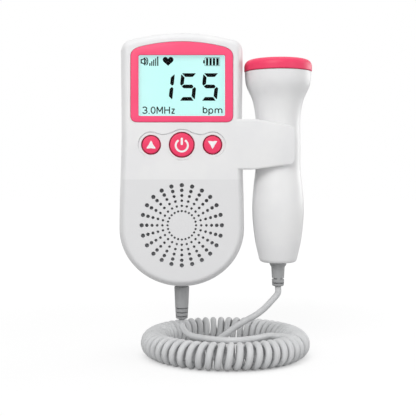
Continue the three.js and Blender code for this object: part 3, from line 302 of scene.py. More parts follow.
def gridFaces(rows, columns, along=False):
    # quads between neighbours of a grid of points that closes on itself around, and along where asked
    i, j = np.meshgrid(np.arange(rows if along else rows - 1), np.arange(columns), indexing="ij")
    corners = [(i, j), (i, j + 1), (i + 1, j + 1), (i + 1, j)]
    return np.stack([(a % rows) * columns + b % columns for a, b in corners], -1).reshape(-1, 4).tolist()


def together(*shapes):
    # several shapes as one, their point numbers carried on
    starts = np.cumsum([0] + [len(points) for points, _ in shapes])
    faces = [[n + int(start) for n in face] for (_, some), start in zip(shapes, starts) for face in some]
    return np.concatenate([points for points, _ in shapes]), faces


def lofted(rings):
    # rings of equally many points joined side to side, a flat face on each end
    rings = np.asarray(rings, float)
    rows, columns = rings.shape[:2]
    ends = [list(range(columns)), list(range((rows - 1) * columns, rows * columns))]
    return rings.reshape(-1, 3), gridFaces(rows, columns) + ends


def turned(profile, centre, axis="z", sides=64):
    # point = centre + radius * (cos, sin) across the axis + height along it; the profile runs from a pole
    # at its first pair to a pole at its last
    profile = np.asarray(profile, float)
    rings = profile[1:-1]
    angle = np.arange(sides) * fullTurn / sides
    across, beside = rings[:, :1] * np.cos(angle), rings[:, :1] * np.sin(angle)
    height = rings[:, 1:] + 0 * angle
    order = {"x": (height, across, beside), "y": (across, height, beside), "z": (across, beside, height)}
    poles = np.zeros((2, 3))
    poles[:, "xyz".index(axis)] = profile[[0, -1], 1]
    points = np.concatenate([np.stack(order[axis], -1).reshape(-1, 3), poles])
    last = (len(rings) - 1) * sides
    faces = gridFaces(len(rings), sides)
    faces += [[len(points) - 2, (j + 1) % sides, j] for j in range(sides)]
    faces += [[len(points) - 1, last + j, last + (j + 1) % sides] for j in range(sides)]
    return points + np.asarray(centre, float), faces


def pin(radius, low, high, centre, axis="z", sides=40):
    # a plain round pin between two heights on its axis
    return turned([(0, low), (radius, low), (radius, high), (0, high)], centre, axis, sides)


def flaredPin(radius, bevel, face, front, rear, centre, sides):
    # a pin from front to rear that is wider by its bevel ahead of a face
    wide = radius + bevel
    return turned([(0, front), (wide, front), (wide, face - 0.02), (radius, face + bevel), (radius, rear),
                   (0, rear)], centre, "y", sides)


def box(x0, x1, y0, y1, z0, z1):
    # a block between two values on each axis
    return lofted([[(x0, y, z0), (x1, y, z0), (x1, y, z1), (x0, y, z1)] for y in (y0, y1)])


def arc(centre, radius, angles):
    # centre + radius * (cos, sin) of each angle; the radius is one number, or one for each direction
    return np.asarray(centre) + np.asarray(radius) * np.stack([np.cos(angles), np.sin(angles)], 1)


def bend(start, control, end, steps):
    # parabola: (1 - t)^2 * start + 2t(1 - t) * control + t^2 * end
    t = np.linspace(0, 1, steps)[:, None]
    start, control, end = (np.asarray(point, float) for point in (start, control, end))
    return (1 - t) ** 2 * start + 2 * t * (1 - t) * control + t ** 2 * end


def eased(corners, radii, steps=5, closed=True):
    # a line of points with each corner swapped for a parabola that starts and ends a radius away from it
    corners = np.asarray(corners, float)
    radii = np.broadcast_to(np.asarray(radii, float), len(corners))
    line = []
    for k, (corner, radius) in enumerate(zip(corners, radii)):
        if radius == 0 or (not closed and k in (0, len(corners) - 1)):
            line.append(corner[None])
            continue
        back, on = corners[k - 1] - corner, corners[(k + 1) % len(corners)] - corner
        start = corner + radius * back / np.linalg.norm(back)
        line.append(bend(start, corner, corner + radius * on / np.linalg.norm(on), steps))
    return np.concatenate(line)


def mirrored(right):
    # half an outline from its lowest point to its highest, closed by its mirror image
    return np.concatenate([right, right[-2:0:-1] * (-1, 1)])


def upright(line, depth):
    # a front-view line set at a depth, one number or one for each point
    return np.stack([line[:, 0], np.broadcast_to(depth, len(line)), line[:, 1]], 1)


def plate(outline, levels):
    # outline(inset) is a front-view ring; each level (depth, inset) sets one such ring
    return lofted([upright(outline(inset), depth) for depth, inset in levels])


def roundedBox(x0, x1, z0, z1, radius, steps=7):
    # a rectangle drawn in by the inset, its corners eased by what the inset leaves of the radius
    def outline(inset=0.0):
        corners = [(x0 + inset, z0 + inset), (x1 - inset, z0 + inset),
                   (x1 - inset, z1 - inset), (x0 + inset, z1 - inset)]
        return eased(corners, max(radius - inset, 0.05), steps)
    return outline


def edgeLevels(front, rear, rounding):
    # (depth, inset) pairs from front to rear with a quarter round at the front
    levels = [(front + rounding * (1 - math.cos(a)), rounding * (1 - math.sin(a)))
              for a in np.linspace(0, quarterTurn, 5)]
    return levels + [(rear, 0)]


def newObject(name, shape):
    # a shape as an object in metres, its faces turned outwards
    points, faces = shape
    mesh = bpy.data.meshes.new(name)
    mesh.from_pydata((np.asarray(points) * mm).tolist(), [], faces)
    work = bmesh.new()
    work.from_mesh(mesh)
    bmesh.ops.recalc_face_normals(work, faces=work.faces)
    work.to_mesh(mesh)
    work.free()
    piece = bpy.data.objects.new(name, mesh)
    bpy.context.scene.collection.objects.link(piece)
    return piece


def carve(piece, *shapes, how="DIFFERENCE"):
    # each shape in turn is cut out of the piece, and the result becomes its mesh
    for shape in shapes:
        tool = newObject("tool", shape)
        step = piece.modifiers.new("carve", "BOOLEAN")
        step.operation, step.solver, step.object = how, "MANIFOLD", tool
        before = len(piece.data.vertices)
        bpy.context.view_layer.update()
        graph = bpy.context.evaluated_depsgraph_get()
        mesh = bpy.data.meshes.new_from_object(piece.evaluated_get(graph))
        piece.modifiers.clear()
        piece.data = mesh
        if len(mesh.vertices) in (0, before):
            print("carve left", piece.name, "as it was")
        bpy.data.objects.remove(tool)


def weld(piece, *shapes):
    # each shape in turn is joined to the piece
    carve(piece, *shapes, how="UNION")


def readOut(parts, what, width=1, kind=np.int32):
    # one value of each edge, point, loop or face of a mesh, as an array
    values = np.zeros(len(parts) * width, kind)
    parts.foreach_get(what, values)
    return values


def dressIn(piece, finish):
    piece.data.materials.clear()
    piece.data.materials.append(finish.material)


def shade(piece, degrees):
    # smooth all over, but for edges that turn more than the angle
    piece.data.shade_smooth()
    piece.data.set_sharp_from_angle(angle=math.radians(degrees))


def finished(piece, finish, body, slot, *replaced, degrees=32):
    # a rigid piece gets its material, smooth shading and body, and the nodes it replaces are hidden; slot
    # is not used
    dressIn(piece, finish)
    shade(piece, degrees)
    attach(piece, body)
    if replaced:
        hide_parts(*replaced)


# Cord

cord = {
    "diameter": 3.3,
    "curls": 52.5,
    "curlRadius": 5.3,
    "ringRadius": 37.5,
    "ringCentre": (22.8, middle, -133),
    "ringStart": math.radians(-28),
    "ringSweep": math.radians(352),
    "stepsPerCurl": 26,
    "sides": 14,
    # the cord's middle line from the unit to the first curl, and from the last curl to the probe
    "unitRoute": [
        (0, middle, -120.9), (0, middle, -124.2), (1.4, -19.2, -126.4), (3.4, -25.4, -127.2),
        (7.2, -32.2, -127.3), (12, -38, -127), (17.6, -42.4, -126.8), (23.6, -45.4, -126.6),
        (30, -44.7, -126.5), (35.8, -41.6, -126.4), (40.2, -36.6, -126.6), (42.6, -31.6, -127.1),
        (45.9, -28.2, -127.5),
    ],
    "probeRoute": [
        (48, -24.4, -138.3), (40, -23.8, -138.3), (31, -25.4, -138.3), (22, -27.4, -138.3),
        (12.5, -27.2, -138.3), (5, -23, -138.3), (2.6, -16.5, -138.2), (6, -11.4, -137.7),
        (12, -10.6, -136.2), (18, -12, -133.4), (23.2, -13.2, -129.4), (28.4, -14, -125.4),
        (34, -14.5, -121.8), (39.6, -14.8, -118.6), (44, -15, -115), (47.4, -15, -111.4),
        (50.8, middle, -107.1), (50.8, middle, -103.8),
    ],
    "straight": (3.3, 3.6, 6.9),  # points on the line of a curl's end, measured from its last point
}


def coilPoint(turns):
    # a ring that lies flat, wound round by small curls: centre + ring radius * spoke
    # + curl radius * (cos of the winding angle * spoke + sin of it * up)
    around = cord["ringStart"] - cord["ringSweep"] * turns / cord["curls"]
    wind = quarterTurn - fullTurn * turns
    spoke = np.stack([np.cos(around), np.sin(around), 0 * around], -1)
    outward = np.cos(wind)[:, None] * spoke + np.sin(wind)[:, None] * np.array([0, 0, 1])
    return np.array(cord["ringCentre"]) + cord["ringRadius"] * spoke + cord["curlRadius"] * outward


def throughPoints(points, spacing=0.7):
    # centripetal Catmull-Rom curve: between two points a cubic whose slopes come from the neighbours,
    # each span timed by the square root of its length
    points = np.asarray(points, float)
    points = np.concatenate([[2 * points[0] - points[1]], points, [2 * points[-1] - points[-2]]])
    line = []
    for a, b, c, d in zip(points, points[1:], points[2:], points[3:]):
        s, u, v = (math.sqrt(np.linalg.norm(end - start)) for start, end in ((a, b), (b, c), (c, d)))
        first = u * ((b - a) / s - (c - a) / (s + u) + (c - b) / u)
        last = u * ((c - b) / u - (d - b) / (u + v) + (d - c) / v)
        t = np.linspace(0, 1, max(2, int(np.linalg.norm(c - b) / spacing)), endpoint=False)[:, None]
        line.append(b + first * t + (-3 * b + 3 * c - 2 * first - last) * t ** 2
                    + (2 * b - 2 * c + first + last) * t ** 3)
    return np.concatenate([*line, points[-2][None]])


def tube(path, radius, sides):
    # a round section carried along the path, each ring's frame turned from the last by the bend between
    path = np.asarray(path, float)
    tangent = np.gradient(path, axis=0)
    tangent /= np.linalg.norm(tangent, axis=1)[:, None]
    side = np.cross(tangent[0], (0.3, 0.9, 0.2))  # any direction across the start
    sideways = []
    for direction in tangent:
        side = side - side.dot(direction) * direction
        side /= np.linalg.norm(side)
        sideways.append(side)
    sideways = np.array(sideways)
    beside = np.cross(tangent, sideways)
    angle = np.arange(sides) * fullTurn / sides
    ring = np.cos(angle)[None, :, None] * sideways[:, None] + np.sin(angle)[None, :, None] * beside[:, None]
    return lofted(path[:, None] + radius * ring)


def measureAlong(piece, path, sides):
    # UV map: length along the path in centimetres, share of the way round
    steps = np.linalg.norm(np.diff(path, axis=0), axis=1)
    length = np.concatenate([[0], np.cumsum(steps)]) / 10
    mesh = piece.data
    owner = readOut(mesh.loops, "vertex_index")
    ring, place = owner // sides, (owner % sides) / sides
    spots = np.stack([length[ring], place], 1)
    starts, counts = (readOut(mesh.polygons, what) for what in ("loop_start", "loop_total"))
    face = np.repeat(np.arange(len(counts)), counts)
    wraps = np.maximum.reduceat(place, starts) > 0.75
    spots[wraps[face] & (place < 0.25), 1] += 1  # the last strip of faces runs on to 1
    mesh.uv_layers.new(name="along").uv.foreach_set("vector", spots.ravel())


def curlEnd(turns, nudge=0.01):
    # the ring's point at an end, and the line on which it gets there
    before, here, after = (coilPoint(np.array([turns + step]))[0] for step in (-nudge, 0, nudge))
    return here, (after - before) / np.linalg.norm(after - before)


near, join, far = cord["straight"]
firstEnd, firstLine = curlEnd(0.0)
lastEnd, lastLine = curlEnd(cord["curls"])
windings = coilPoint(np.linspace(0, cord["curls"], int(cord["curls"] * cord["stepsPerCurl"]) + 1))
unitLead = throughPoints([*cord["unitRoute"], firstEnd - firstLine * far, firstEnd - firstLine * join])
curlyPath = np.concatenate([unitLead, [firstEnd - firstLine * near / 2], windings,
                            [lastEnd + lastLine * near]])
probePath = throughPoints([lastEnd + lastLine * near, lastEnd + lastLine * far, *cord["probeRoute"]])


def cordPiece(name, path):
    # a tube along the path with its map and material, and how long the path is
    piece = newObject(name, tube(path, cord["diameter"] / 2, cord["sides"]))
    measureAlong(piece, path, cord["sides"])
    dressIn(piece, cordFinish)
    shade(piece, 50)
    length = float(np.linalg.norm(np.diff(path, axis=0), axis=1).sum() * mm)
    print(name, "length", round(length, 4), "m")
    return piece, length


curlyCord, curlyLength = cordPiece("curlyCord", curlyPath)
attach(curlyCord, "main_unit")
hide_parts("unit_lead", "curly_cord")
probeCord, probeLength = cordPiece("probeCord", probePath)
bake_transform(probeCord)
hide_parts("probe_lead")
print("cords laid")

# Main unit housing

unit = {
    "depth": 30, "wall": 2.2, "parting": 0.22,
    "top": 29.6, "topArc": 105, "corner": 6.5,
    "shoulder": 32.3, "waist": 32, "waistZ": -20,
    "belly": 33.1, "bellyZ": -72.9, "bellyDrop": 30.6,
    "frontInset": 4.2, "frontSquareness": 2.1,
    "foldBack": 1.2, "foldFade": 6,
    "rearInset": 4, "rearRound": 5,
    "flat": 0.5,  # how much further in the flat faces start
    "trim": 0.35,  # the whole outline lies this much inside the solid's
}
faceY = -unit["depth"]
innerRear = -unit["wall"]
bottomZ = unit["bellyZ"] - unit["bellyDrop"]
bellySteps, foldSteps = 48, 8
foldRow = bellySteps + foldSteps  # the outline's point that lies on the fold, counted from the lowest
sleeveHole = 3.2  # radius of the holes in which the cord's sleeves sit
over = 6  # how far a cutter runs past what it cuts
reach = 300  # half the size of a cutter that takes all on one side away


def unitOutline(inset):
    # front-view ring from the lowest point: a quarter ellipse, a side that eases between three half
    # widths by half cosine waves, a round corner and a shallow arc, then the same mirrored
    belly, waist, shoulder, corner = (unit[key] for key in ("belly", "waist", "shoulder", "corner"))
    bellyZ, waistZ, topArc = unit["bellyZ"], unit["waistZ"], unit["topArc"]
    arcZ, cornerX = unit["top"] - topArc, shoulder - corner
    cornerZ = arcZ + math.sqrt((topArc - corner) ** 2 - cornerX ** 2)
    cornerEnd = math.atan2(cornerZ - arcZ, cornerX)
    z = np.concatenate([np.linspace(*span)[:-1] for span in
                        ((bellyZ, foldZ, foldSteps + 1), (foldZ, waistZ, 9), (waistZ, cornerZ, 13))])
    low = np.clip((z - bellyZ) / (waistZ - bellyZ), 0, 1)
    high = np.clip((z - waistZ) / (cornerZ - waistZ), 0, 1)
    x = belly + (waist - belly) * (1 - np.cos(math.pi * low)) / 2
    x = x + (shoulder - waist) * (1 - np.cos(math.pi * high)) / 2 - inset
    return mirrored(np.concatenate([
        arc((0, bellyZ), (belly - inset, unit["bellyDrop"] - inset),
            np.linspace(-quarterTurn, 0, bellySteps + 1)[:-1]),
        np.stack([x, z], 1),
        arc((cornerX, cornerZ), corner - inset, np.linspace(0, cornerEnd, 11)[:-1]),
        arc((0, arcZ), topArc - inset, np.linspace(cornerEnd, quarterTurn, 17)),
    ]))


def faceFall(z):
    # how far the front face lies back below the fold, growing evenly to the bottom edge
    return unit["foldBack"] * np.clip((foldZ - z) / (foldZ - bottomZ), 0, 1)


def unitBlock(wall, folded, trim=0.0):
    # rings from the front face round the edges to the back, each an outline at one depth and inset: a
    # quarter of a superellipse as deep as the front half, a plain side, and a quarter ellipse at the back
    power, deep = 2 / unit["frontSquareness"], middle - faceY - wall
    levels = [(wall + faceY, unit["frontInset"] + unit["flat"], 1)]
    for a in np.linspace(0, quarterTurn, 17):
        back = deep * (1 - math.cos(a) ** power)
        levels.append((wall + faceY + back, unit["frontInset"] * (1 - math.sin(a) ** power),
                       max(0.0, 1 - back / unit["foldFade"])))
    levels += [(-wall - unit["rearRound"] * (1 - math.cos(a)), unit["rearInset"] * (1 - math.sin(a)), 0)
               for a in np.linspace(quarterTurn, 0, 9)]
    levels.append((-wall, unit["rearInset"] + unit["flat"], 0))
    rings = []
    for depth, inset, share in levels:
        ring = unitOutline(inset + wall + trim)
        rings.append(upright(ring, depth + (share * faceFall(ring[:, 1]) if folded else 0)))
    points, faces = lofted(rings)
    if folded:  # the front face is two flats that meet on the fold
        count = len(rings[0])
        faces[-2:-1] = [list(range(foldRow, count - foldRow + 1)),
                        list(range(count - foldRow, count)) + list(range(foldRow + 1))]
    return points, faces


clip = {
    "top": -16.3, "bottom": -42,
    "taperStart": 38, "tip": 58.4, "tipDrop": 2.9, "tipRise": 2.2, "corner": 4, "tipRound": 1.0,
    "bend": 50.2, "bendBack": 0.24, "bendSoftness": 0.3,
    "seat": 12.25,
    "root": 29.7, "rootBack": 6.5, "cheek": 27.3,
    "edge": 1.1,
}


def clipBand():
    # a round-edged section carried round the plan from the front arm's tip, past the seat, to the rear
    # arm's tip; heights follow two tapered edges whose corners at the tip are quarter circles
    tip, seat, cheek, corner = (clip[key] for key in ("tip", "seat", "cheek", "corner"))

    def outerY(x):
        # flat, then leaning back past the bend: back * softness * log(1 + e^(way past it / softness))
        past = np.clip((x - clip["bend"]) / clip["bendSoftness"], -30, 30)
        return faceY + clip["bendBack"] * clip["bendSoftness"] * np.log1p(np.exp(past))

    def bothArms(plan):
        return np.concatenate([plan, plan[-2::-1] * (1, -1) + (0, 2 * middle)])

    a = np.radians([82, 70, 58, 46, 34, 22, 10, 0])
    arm = np.linspace(tip - clip["tipRound"], probeX, 22)[1:]
    x = np.concatenate([tip - clip["tipRound"] * (1 - np.sin(a)), arm])
    shrink = np.concatenate([np.cos(a), np.ones(len(arm))])
    innerY = middle - seat
    centre, half = (outerY(x) + innerY) / 2, (innerY - outerY(x)) / 2 * shrink
    w = np.linspace(0, 1, 25)[1:]
    turns = [0.75, 0.82, 1]  # shares of the way back: into the unit, to the root's corner, to the middle
    along = np.interp(w, [0, turns[0]], [probeX, cheek])
    hidden = np.stack([np.interp(w, turns, [cheek, clip["root"], clip["root"]]),
                       np.interp(w, turns, [faceY, faceY + clip["rootBack"], middle])], 1)
    back = np.where(w[:, None] <= turns[0], np.stack([along, outerY(along)], 1), hidden)
    outer = bothArms(np.concatenate([np.stack([x, centre - half], 1), back]))
    inner = bothArms(np.concatenate([np.stack([x, centre + half], 1), arc(
        (probeX, middle), seat, np.radians(np.linspace(-90, -180, 25))[1:])]))
    gap = np.linalg.norm(inner - outer, axis=1)[:, None]
    direction = (inner - outer) / gap
    edge = np.minimum(clip["edge"], 0.45 * gap)
    quarter = np.linspace(0, quarterTurn, 6)
    rise, run = 1 - np.sin(quarter), 1 - np.cos(quarter)
    aside = np.concatenate([edge * run, gap - edge * run[::-1], gap - edge * run, edge * run[::-1]], 1)
    drop = np.concatenate([edge * rise, edge * rise[::-1]], 1)
    plan = outer[:, None] + aside[:, :, None] * direction[:, None]
    x = plan[..., 0]
    taper = np.clip((x - clip["taperStart"]) / (tip - corner - clip["taperStart"]), 0, 1)
    beyond = np.clip((x - tip + corner) / corner, 0, 0.999)
    rounded = corner * (1 - np.sqrt(1 - beyond ** 2))
    high = clip["top"] - clip["tipDrop"] * taper - rounded
    low = clip["bottom"] + clip["tipRise"] * taper + rounded
    count = drop.shape[1]
    z = np.concatenate([high[:, :count] - drop, low[:, count:] + drop], 1)
    return lofted(np.concatenate([plan, z[..., None]], -1))


islands = {
    "keyRing": 6.54, "powerRing": 7.86, "saddle": (9.6, -24.3),
    "width": 0.3,
    "steep": 2.9,  # the round cutter is this many times as deep as wide
    "roundKey": (272, 66), "roundPower": (124, 90),  # degrees
    "endTop": keyRow + 3, "endRise": 9.5,  # from what height down it leaves the face, and over how much
    "endLift": 0.22,
    "underPower": (222, 318), "underLift": (0.14, 0.16),
}


def islandGroove():
    # a round cutter along one line: round the left key's outer side, over the saddle, round the power
    # key's top and on to the right; it lifts out of the face towards both lower ends, and so does a
    # second one below the power key
    ring = islands["powerRing"]
    saddleX, saddleZ = islands["saddle"]
    half = np.concatenate([arc((-keySpacing, keyRow), islands["keyRing"],
                               np.radians(np.linspace(*islands["roundKey"], 40))),
                           [(-saddleX, saddleZ)],
                           arc((0, keyRow), ring, np.radians(np.linspace(*islands["roundPower"], 8)))])
    line = np.concatenate([half, half[-2::-1] * (-1, 1)])
    lift = np.clip((islands["endTop"] - line[:, 1]) / islands["endRise"], 0, 1) * islands["endLift"]
    below = arc((0, keyRow), ring, np.radians(np.linspace(*islands["underPower"], 24)))
    least, more = islands["underLift"]
    belowLift = least + more * np.abs(np.linspace(-1, 1, 24)) ** 3
    points, faces = together(*[tube(throughPoints(upright(some, faceY - up), 0.5), islands["width"], 12)
                               for some, up in ((line, lift), (below, belowLift))])
    points[:, 1] = faceY + (points[:, 1] - faceY) * islands["steep"]
    return points, faces


grille = {
    "centreZ": -70.7, "spokes": 24, "firstRing": 7.3, "ringStep": 2.65,
    "holes": [0.56, 0.61, 0.68, 0.78, 0.92, 1.08], "chamfer": 0.1, "sides": 20,
}


def grilleHoles():
    # one pin for each hole: rings of growing radius on evenly spaced spokes, each pin flared at the face
    pins = []
    for ring, radius in enumerate(grille["holes"]):
        distance = grille["firstRing"] + ring * grille["ringStep"]
        for spoke in range(grille["spokes"]):
            angle = quarterTurn + fullTurn * spoke / grille["spokes"]
            x, z = distance * math.cos(angle), grille["centreZ"] + distance * math.sin(angle)
            face = faceY + float(faceFall(np.array(z)))
            pins.append(flaredPin(radius, grille["chamfer"], face, face - 1, faceY + 4, (x, 0, z),
                                  grille["sides"]))
    return together(*pins)


screen = {
    "half": 26.2, "top": 23.3, "bottom": -17.9, "corner": 3.5,
    "fall": 0.0058,  # the top edge drops by this share of the square of the distance from the middle
    "joint": 21, "side": 15.7,
    "thickness": 1.3, "proud": 0.25, "edge": 0.45, "fit": 0.16,
    "windowHalf": 22.1, "windowTop": 16.4, "windowBottom": -14.7, "windowCorner": 0.8,
    "windowRoom": 0.6, "windowBevel": 0.25,
}
frameFront = faceY - screen["proud"]
frameRear = frameFront + screen["thickness"]
windowOutline = roundedBox(-screen["windowHalf"], screen["windowHalf"], screen["windowBottom"],
                           screen["windowTop"], screen["windowCorner"])


def screenOutline(inset):
    # straight sides and bottom with round corners; the top is one shallow parabola between soft shoulders
    half, low = screen["half"] - inset, screen["bottom"] + inset
    crown, fall = screen["top"] - inset, screen["fall"]
    joint = screen["joint"] - 0.3 * inset
    start, slope = crown - fall * joint ** 2, 2 * fall * joint
    shoulder = (half, start - slope * (half - joint))
    x = np.linspace(joint, 0, 25)
    return mirrored(np.concatenate([
        eased([(0, low), (half, low), (half, 0)], (0, screen["corner"] - inset, 0), 9, closed=False)[:-1],
        bend((half, screen["side"]), shoulder, (joint, start), 13)[:-1],
        np.stack([x, crown - fall * x ** 2], 1),
    ]))


keys = {
    "volume_up": {"x": -keySpacing, "radius": 4.75},
    "power": {"x": 0, "radius": 6.3},
    "volume_down": {"x": keySpacing, "radius": 4.75},
}
keyShape = {
    "gap": 0.3, "holeBevel": 0.2, "proud": 0.7, "crown": 0.35, "edge": 0.5, "draft": 0.3,
    "flange": 0.9, "flangeFront": -27.5, "flangeRear": -26.8, "sides": 72,
}
socket = {
    "height": 2, "radius": 3, "bore": 1.8, "mouth": -31.7, "boreEnd": -23.1, "end": -21.6,
    "flange": 4, "flangeX": -29.5, "hole": (-40, -26), "holeRoom": 0.2,
}
screws = [(26.4, 21), (-26.4, 21), (22.6, -87.5), (-22.6, -87.5)]
screwShape = {
    "head": 2.4, "thickness": 1.5, "shank": 1.1, "length": 14, "seat": -6.7, "boss": 4, "post": 2.7,
    "room": 0.3, "slot": (0.32, 1.5), "slotDepth": 0.8,
}


def atScrews(radius, y0, y1, sides=32):
    # one pin on the axis of each screw
    return together(*[pin(radius, y0, y1, (x, 0, z), "y", sides) for x, z in screws])


reliefHole = pin(sleeveHole, bottomZ - over, bottomZ + over, (0, middle, 0))
socketHole = pin(socket["radius"] + socket["holeRoom"], *socket["hole"], (0, middle, socket["height"]), "x")
keyHoles = [flaredPin(key["radius"] + keyShape["gap"], keyShape["holeBevel"], faceY, faceY - over,
                      faceY + over, (key["x"], 0, keyRow), keyShape["sides"]) for key in keys.values()]
frontHousing = newObject("frontHousing", unitBlock(0, True, unit["trim"]))
weld(frontHousing, clipBand())
rearHousing = newObject("rearHousing", unitBlock(0, True, unit["trim"]))
weld(rearHousing, clipBand())
hollow = unitBlock(unit["wall"], False)
coverRear, coverFront = middle - unit["parting"] / 2, middle + unit["parting"] / 2
carve(frontHousing, hollow, box(-reach, reach, coverRear, reach, -reach, reach))
weld(frontHousing, atScrews(screwShape["post"], faceY + 2, coverRear))
carve(
    frontHousing,
    plate(screenOutline, [(faceY - 2, -screen["fit"]), (frameRear + 0.02, -screen["fit"])]),
    plate(windowOutline, [(faceY - 2, -screen["windowRoom"]), (faceY + over, -screen["windowRoom"])]),
    together(*keyHoles),
    islandGroove(),
    grilleHoles(),
    reliefHole,
    socketHole,
)
finished(frontHousing, facePlastic, "main_unit", "housing", "front_cover", "speaker_grille")
# the fold is a crisp line
mesh = frontHousing.data
corners = readOut(mesh.vertices, "co", 3, float).reshape(-1, 3) / mm
ends = corners[readOut(mesh.edges, "vertices", 2).reshape(-1, 2)]
onFold = (np.abs(ends[..., 2] - foldZ) < 0.01) & (ends[..., 1] < faceY + 1)
sharp = mesh.attributes["sharp_edge"].data
sharp.foreach_set("value", readOut(sharp, "value", 1, bool) | onFold.all(axis=1))
print("front housing", len(mesh.polygons), "faces")

bay = {"half": 15.4, "wall": 1.3, "floor": -17.1, "bottom": -89.2, "top": -33.5}
door = {
    "half": 17.6, "bottom": -91.1, "top": -31.6, "thickness": 2, "corner": 2.6, "edge": 0.35, "fit": 0.22,
    "mouth": 0.2, "rim": 1, "rimDepth": 1.4,
    "tabX": 9, "tabHalf": 3, "tabReach": 1.4, "tabRear": -2.5, "tabThickness": 1.1,
    "tabRoom": 0.35, "tabPocket": (-4.2, -2.1, -92.8, -88.9),
    "latchHalf": 5, "latchDepth": 0.9, "latchHeight": 2.7,
    "latchRoom": 0.3, "latchPocket": (-3.2, -2.1, -33.8, -31.3),
    "grooves": 3, "grooveHalf": 6, "groovePitch": 2.1, "grooveRadius": 0.6, "gripDrop": 3.9,
}
doorOutline = roundedBox(-door["half"], door["half"], door["bottom"], door["top"], door["corner"])
carve(rearHousing, hollow, box(-reach, reach, -reach, coverFront, -reach, reach))
# the bay's lining, a rim that carries the door, and the screws' bosses
wide, rim = bay["half"] + bay["wall"], door["half"] + door["rim"]
weld(
    rearHousing,
    box(-wide, wide, bay["floor"] - bay["wall"], innerRear + 0.2, bay["bottom"] - bay["wall"],
        bay["top"] + bay["wall"]),
    box(-rim, rim, innerRear - door["rimDepth"], innerRear + 0.2, door["bottom"] - door["rim"],
        door["top"] + door["rim"]),
    atScrews(screwShape["boss"], coverFront, innerRear + 0.2),
)
tabRoom, latchRoom = door["tabHalf"] + door["tabRoom"], door["latchHalf"] + door["latchRoom"]
fit, mouth = door["fit"], door["fit"] + door["mouth"]
carve(
    rearHousing,
    plate(doorOutline, [(-door["thickness"] - 0.3, -fit), (-0.18, -fit), (0.02, -mouth), (3, -mouth)]),
    box(-bay["half"], bay["half"], bay["floor"], 3, bay["bottom"], bay["top"]),
    together(*[box(x - tabRoom, x + tabRoom, *door["tabPocket"]) for x in (-door["tabX"], door["tabX"])]),
    box(-latchRoom, latchRoom, *door["latchPocket"]),
    atScrews(screwShape["head"] + screwShape["room"], -7, 2),
    atScrews(screwShape["shank"] + screwShape["room"], middle - 1, -6.5, 20),
    reliefHole,
    socketHole,
)
finished(rearHousing, housingPlastic, "main_unit", "housing", "rear_cover")
print("rear housing", len(rearHousing.data.polygons), "faces")

# Battery door: a plate with a soft outer edge, two tabs, a latch tongue and a thumb grip
batteryDoor = newObject("batteryDoor", plate(doorOutline, [
    (-y, inset) for y, inset in edgeLevels(0, door["thickness"], door["edge"])]))
joinY, foot = -door["thickness"] + 0.1, door["bottom"]
tabFront, tabReach = door["tabRear"] - door["tabThickness"], door["tabReach"]
for x in (-door["tabX"], door["tabX"]):
    left, right = x - door["tabHalf"], x + door["tabHalf"]
    weld(batteryDoor, box(left, right, tabFront, joinY, foot + 0.05, foot + tabReach),
         box(left, right, tabFront, door["tabRear"], foot - tabReach, foot + 0.1))
weld(batteryDoor, box(-door["latchHalf"], door["latchHalf"], -door["thickness"] - door["latchDepth"],
                      joinY, door["top"] - door["latchHeight"], door["top"] - 0.05))
for k in range(door["grooves"]):
    z = door["top"] - door["gripDrop"] - k * door["groovePitch"]
    groove = [(-door["grooveHalf"], 0.15, z), (door["grooveHalf"], 0.15, z)]
    carve(batteryDoor, tube(throughPoints(groove, 1), door["grooveRadius"], 20))
finished(batteryDoor, housingPlastic, "battery_door", "housing", "battery_cover")
print("battery door made")

# Screen frame, keys and their marks

frameLevels = edgeLevels(frameFront, frameRear, screen["edge"])
screenFrame = newObject("screenFrame", plate(screenOutline, frameLevels))
bevel = screen["windowBevel"]
carve(screenFrame, plate(windowOutline, [(frameFront - 1, -bevel), (frameFront - 0.02, -bevel),
                                         (frameFront + bevel, 0), (frameRear + 1, 0)]))
finished(screenFrame, framePink, "main_unit", "pink", "screen_frame")


def keyFace(radius, distance):
    # depth of a key's crowned face at a distance from its axis
    return faceY - keyShape["proud"] - keyShape["crown"] * (1 - np.clip(distance / radius, 0, 1) ** 2)


flangeFront, flangeRear, edge = keyShape["flangeFront"], keyShape["flangeRear"], keyShape["edge"]
for name, key in keys.items():
    radius, flange = key["radius"], key["radius"] + keyShape["flange"]
    rim = radius - keyShape["draft"] - edge
    profile = [(float(r), float(keyFace(radius, r))) for r in np.linspace(0, rim, 9)]
    last = profile[-1][1]
    profile += [(rim + edge * math.sin(a), last + edge * (1 - math.cos(a)))
                for a in np.linspace(0, quarterTurn, 7)[1:]]
    profile += [(radius, flangeFront), (flange, flangeFront), (flange, flangeRear), (0, flangeRear)]
    piece = newObject(name + "Key", turned(profile, (key["x"], 0, keyRow), "y", keyShape["sides"]))
    finished(piece, keyPink, name, "pink", name + "_button")


def onKey(name, rings, proud=0.05, sunk=0.12):
    # front-view rings of points, nested, laid on a key's crowned face: once proud of it and once sunk
    rings = np.asarray(rings, float)
    distance = np.hypot(rings[..., 0] - keys[name]["x"], rings[..., 1] - keyRow)
    face = keyFace(keys[name]["radius"], distance)
    return [np.stack([rings[..., 0], face + step, rings[..., 1]], -1) for step in (-proud, sunk)]


def inkPatch(name, outline, rows=5):
    # nested rings from the outline to near its middle, on top and again below
    outline = np.asarray(outline, float)
    centre = outline.mean(axis=0)
    top, low = onKey(name, centre + (outline - centre) * np.linspace(1, 0.02, rows)[:, None, None])
    return lofted(np.concatenate([top[::-1], low]))


def edgesOf(line, width):
    # the two sides of a strip of even width along a front-view line
    line = np.asarray(line, float)
    way = np.gradient(line, axis=0)
    way /= np.linalg.norm(way, axis=1)[:, None]
    side = np.stack([-way[:, 1], way[:, 0]], 1) * width / 2
    return line - side, line + side


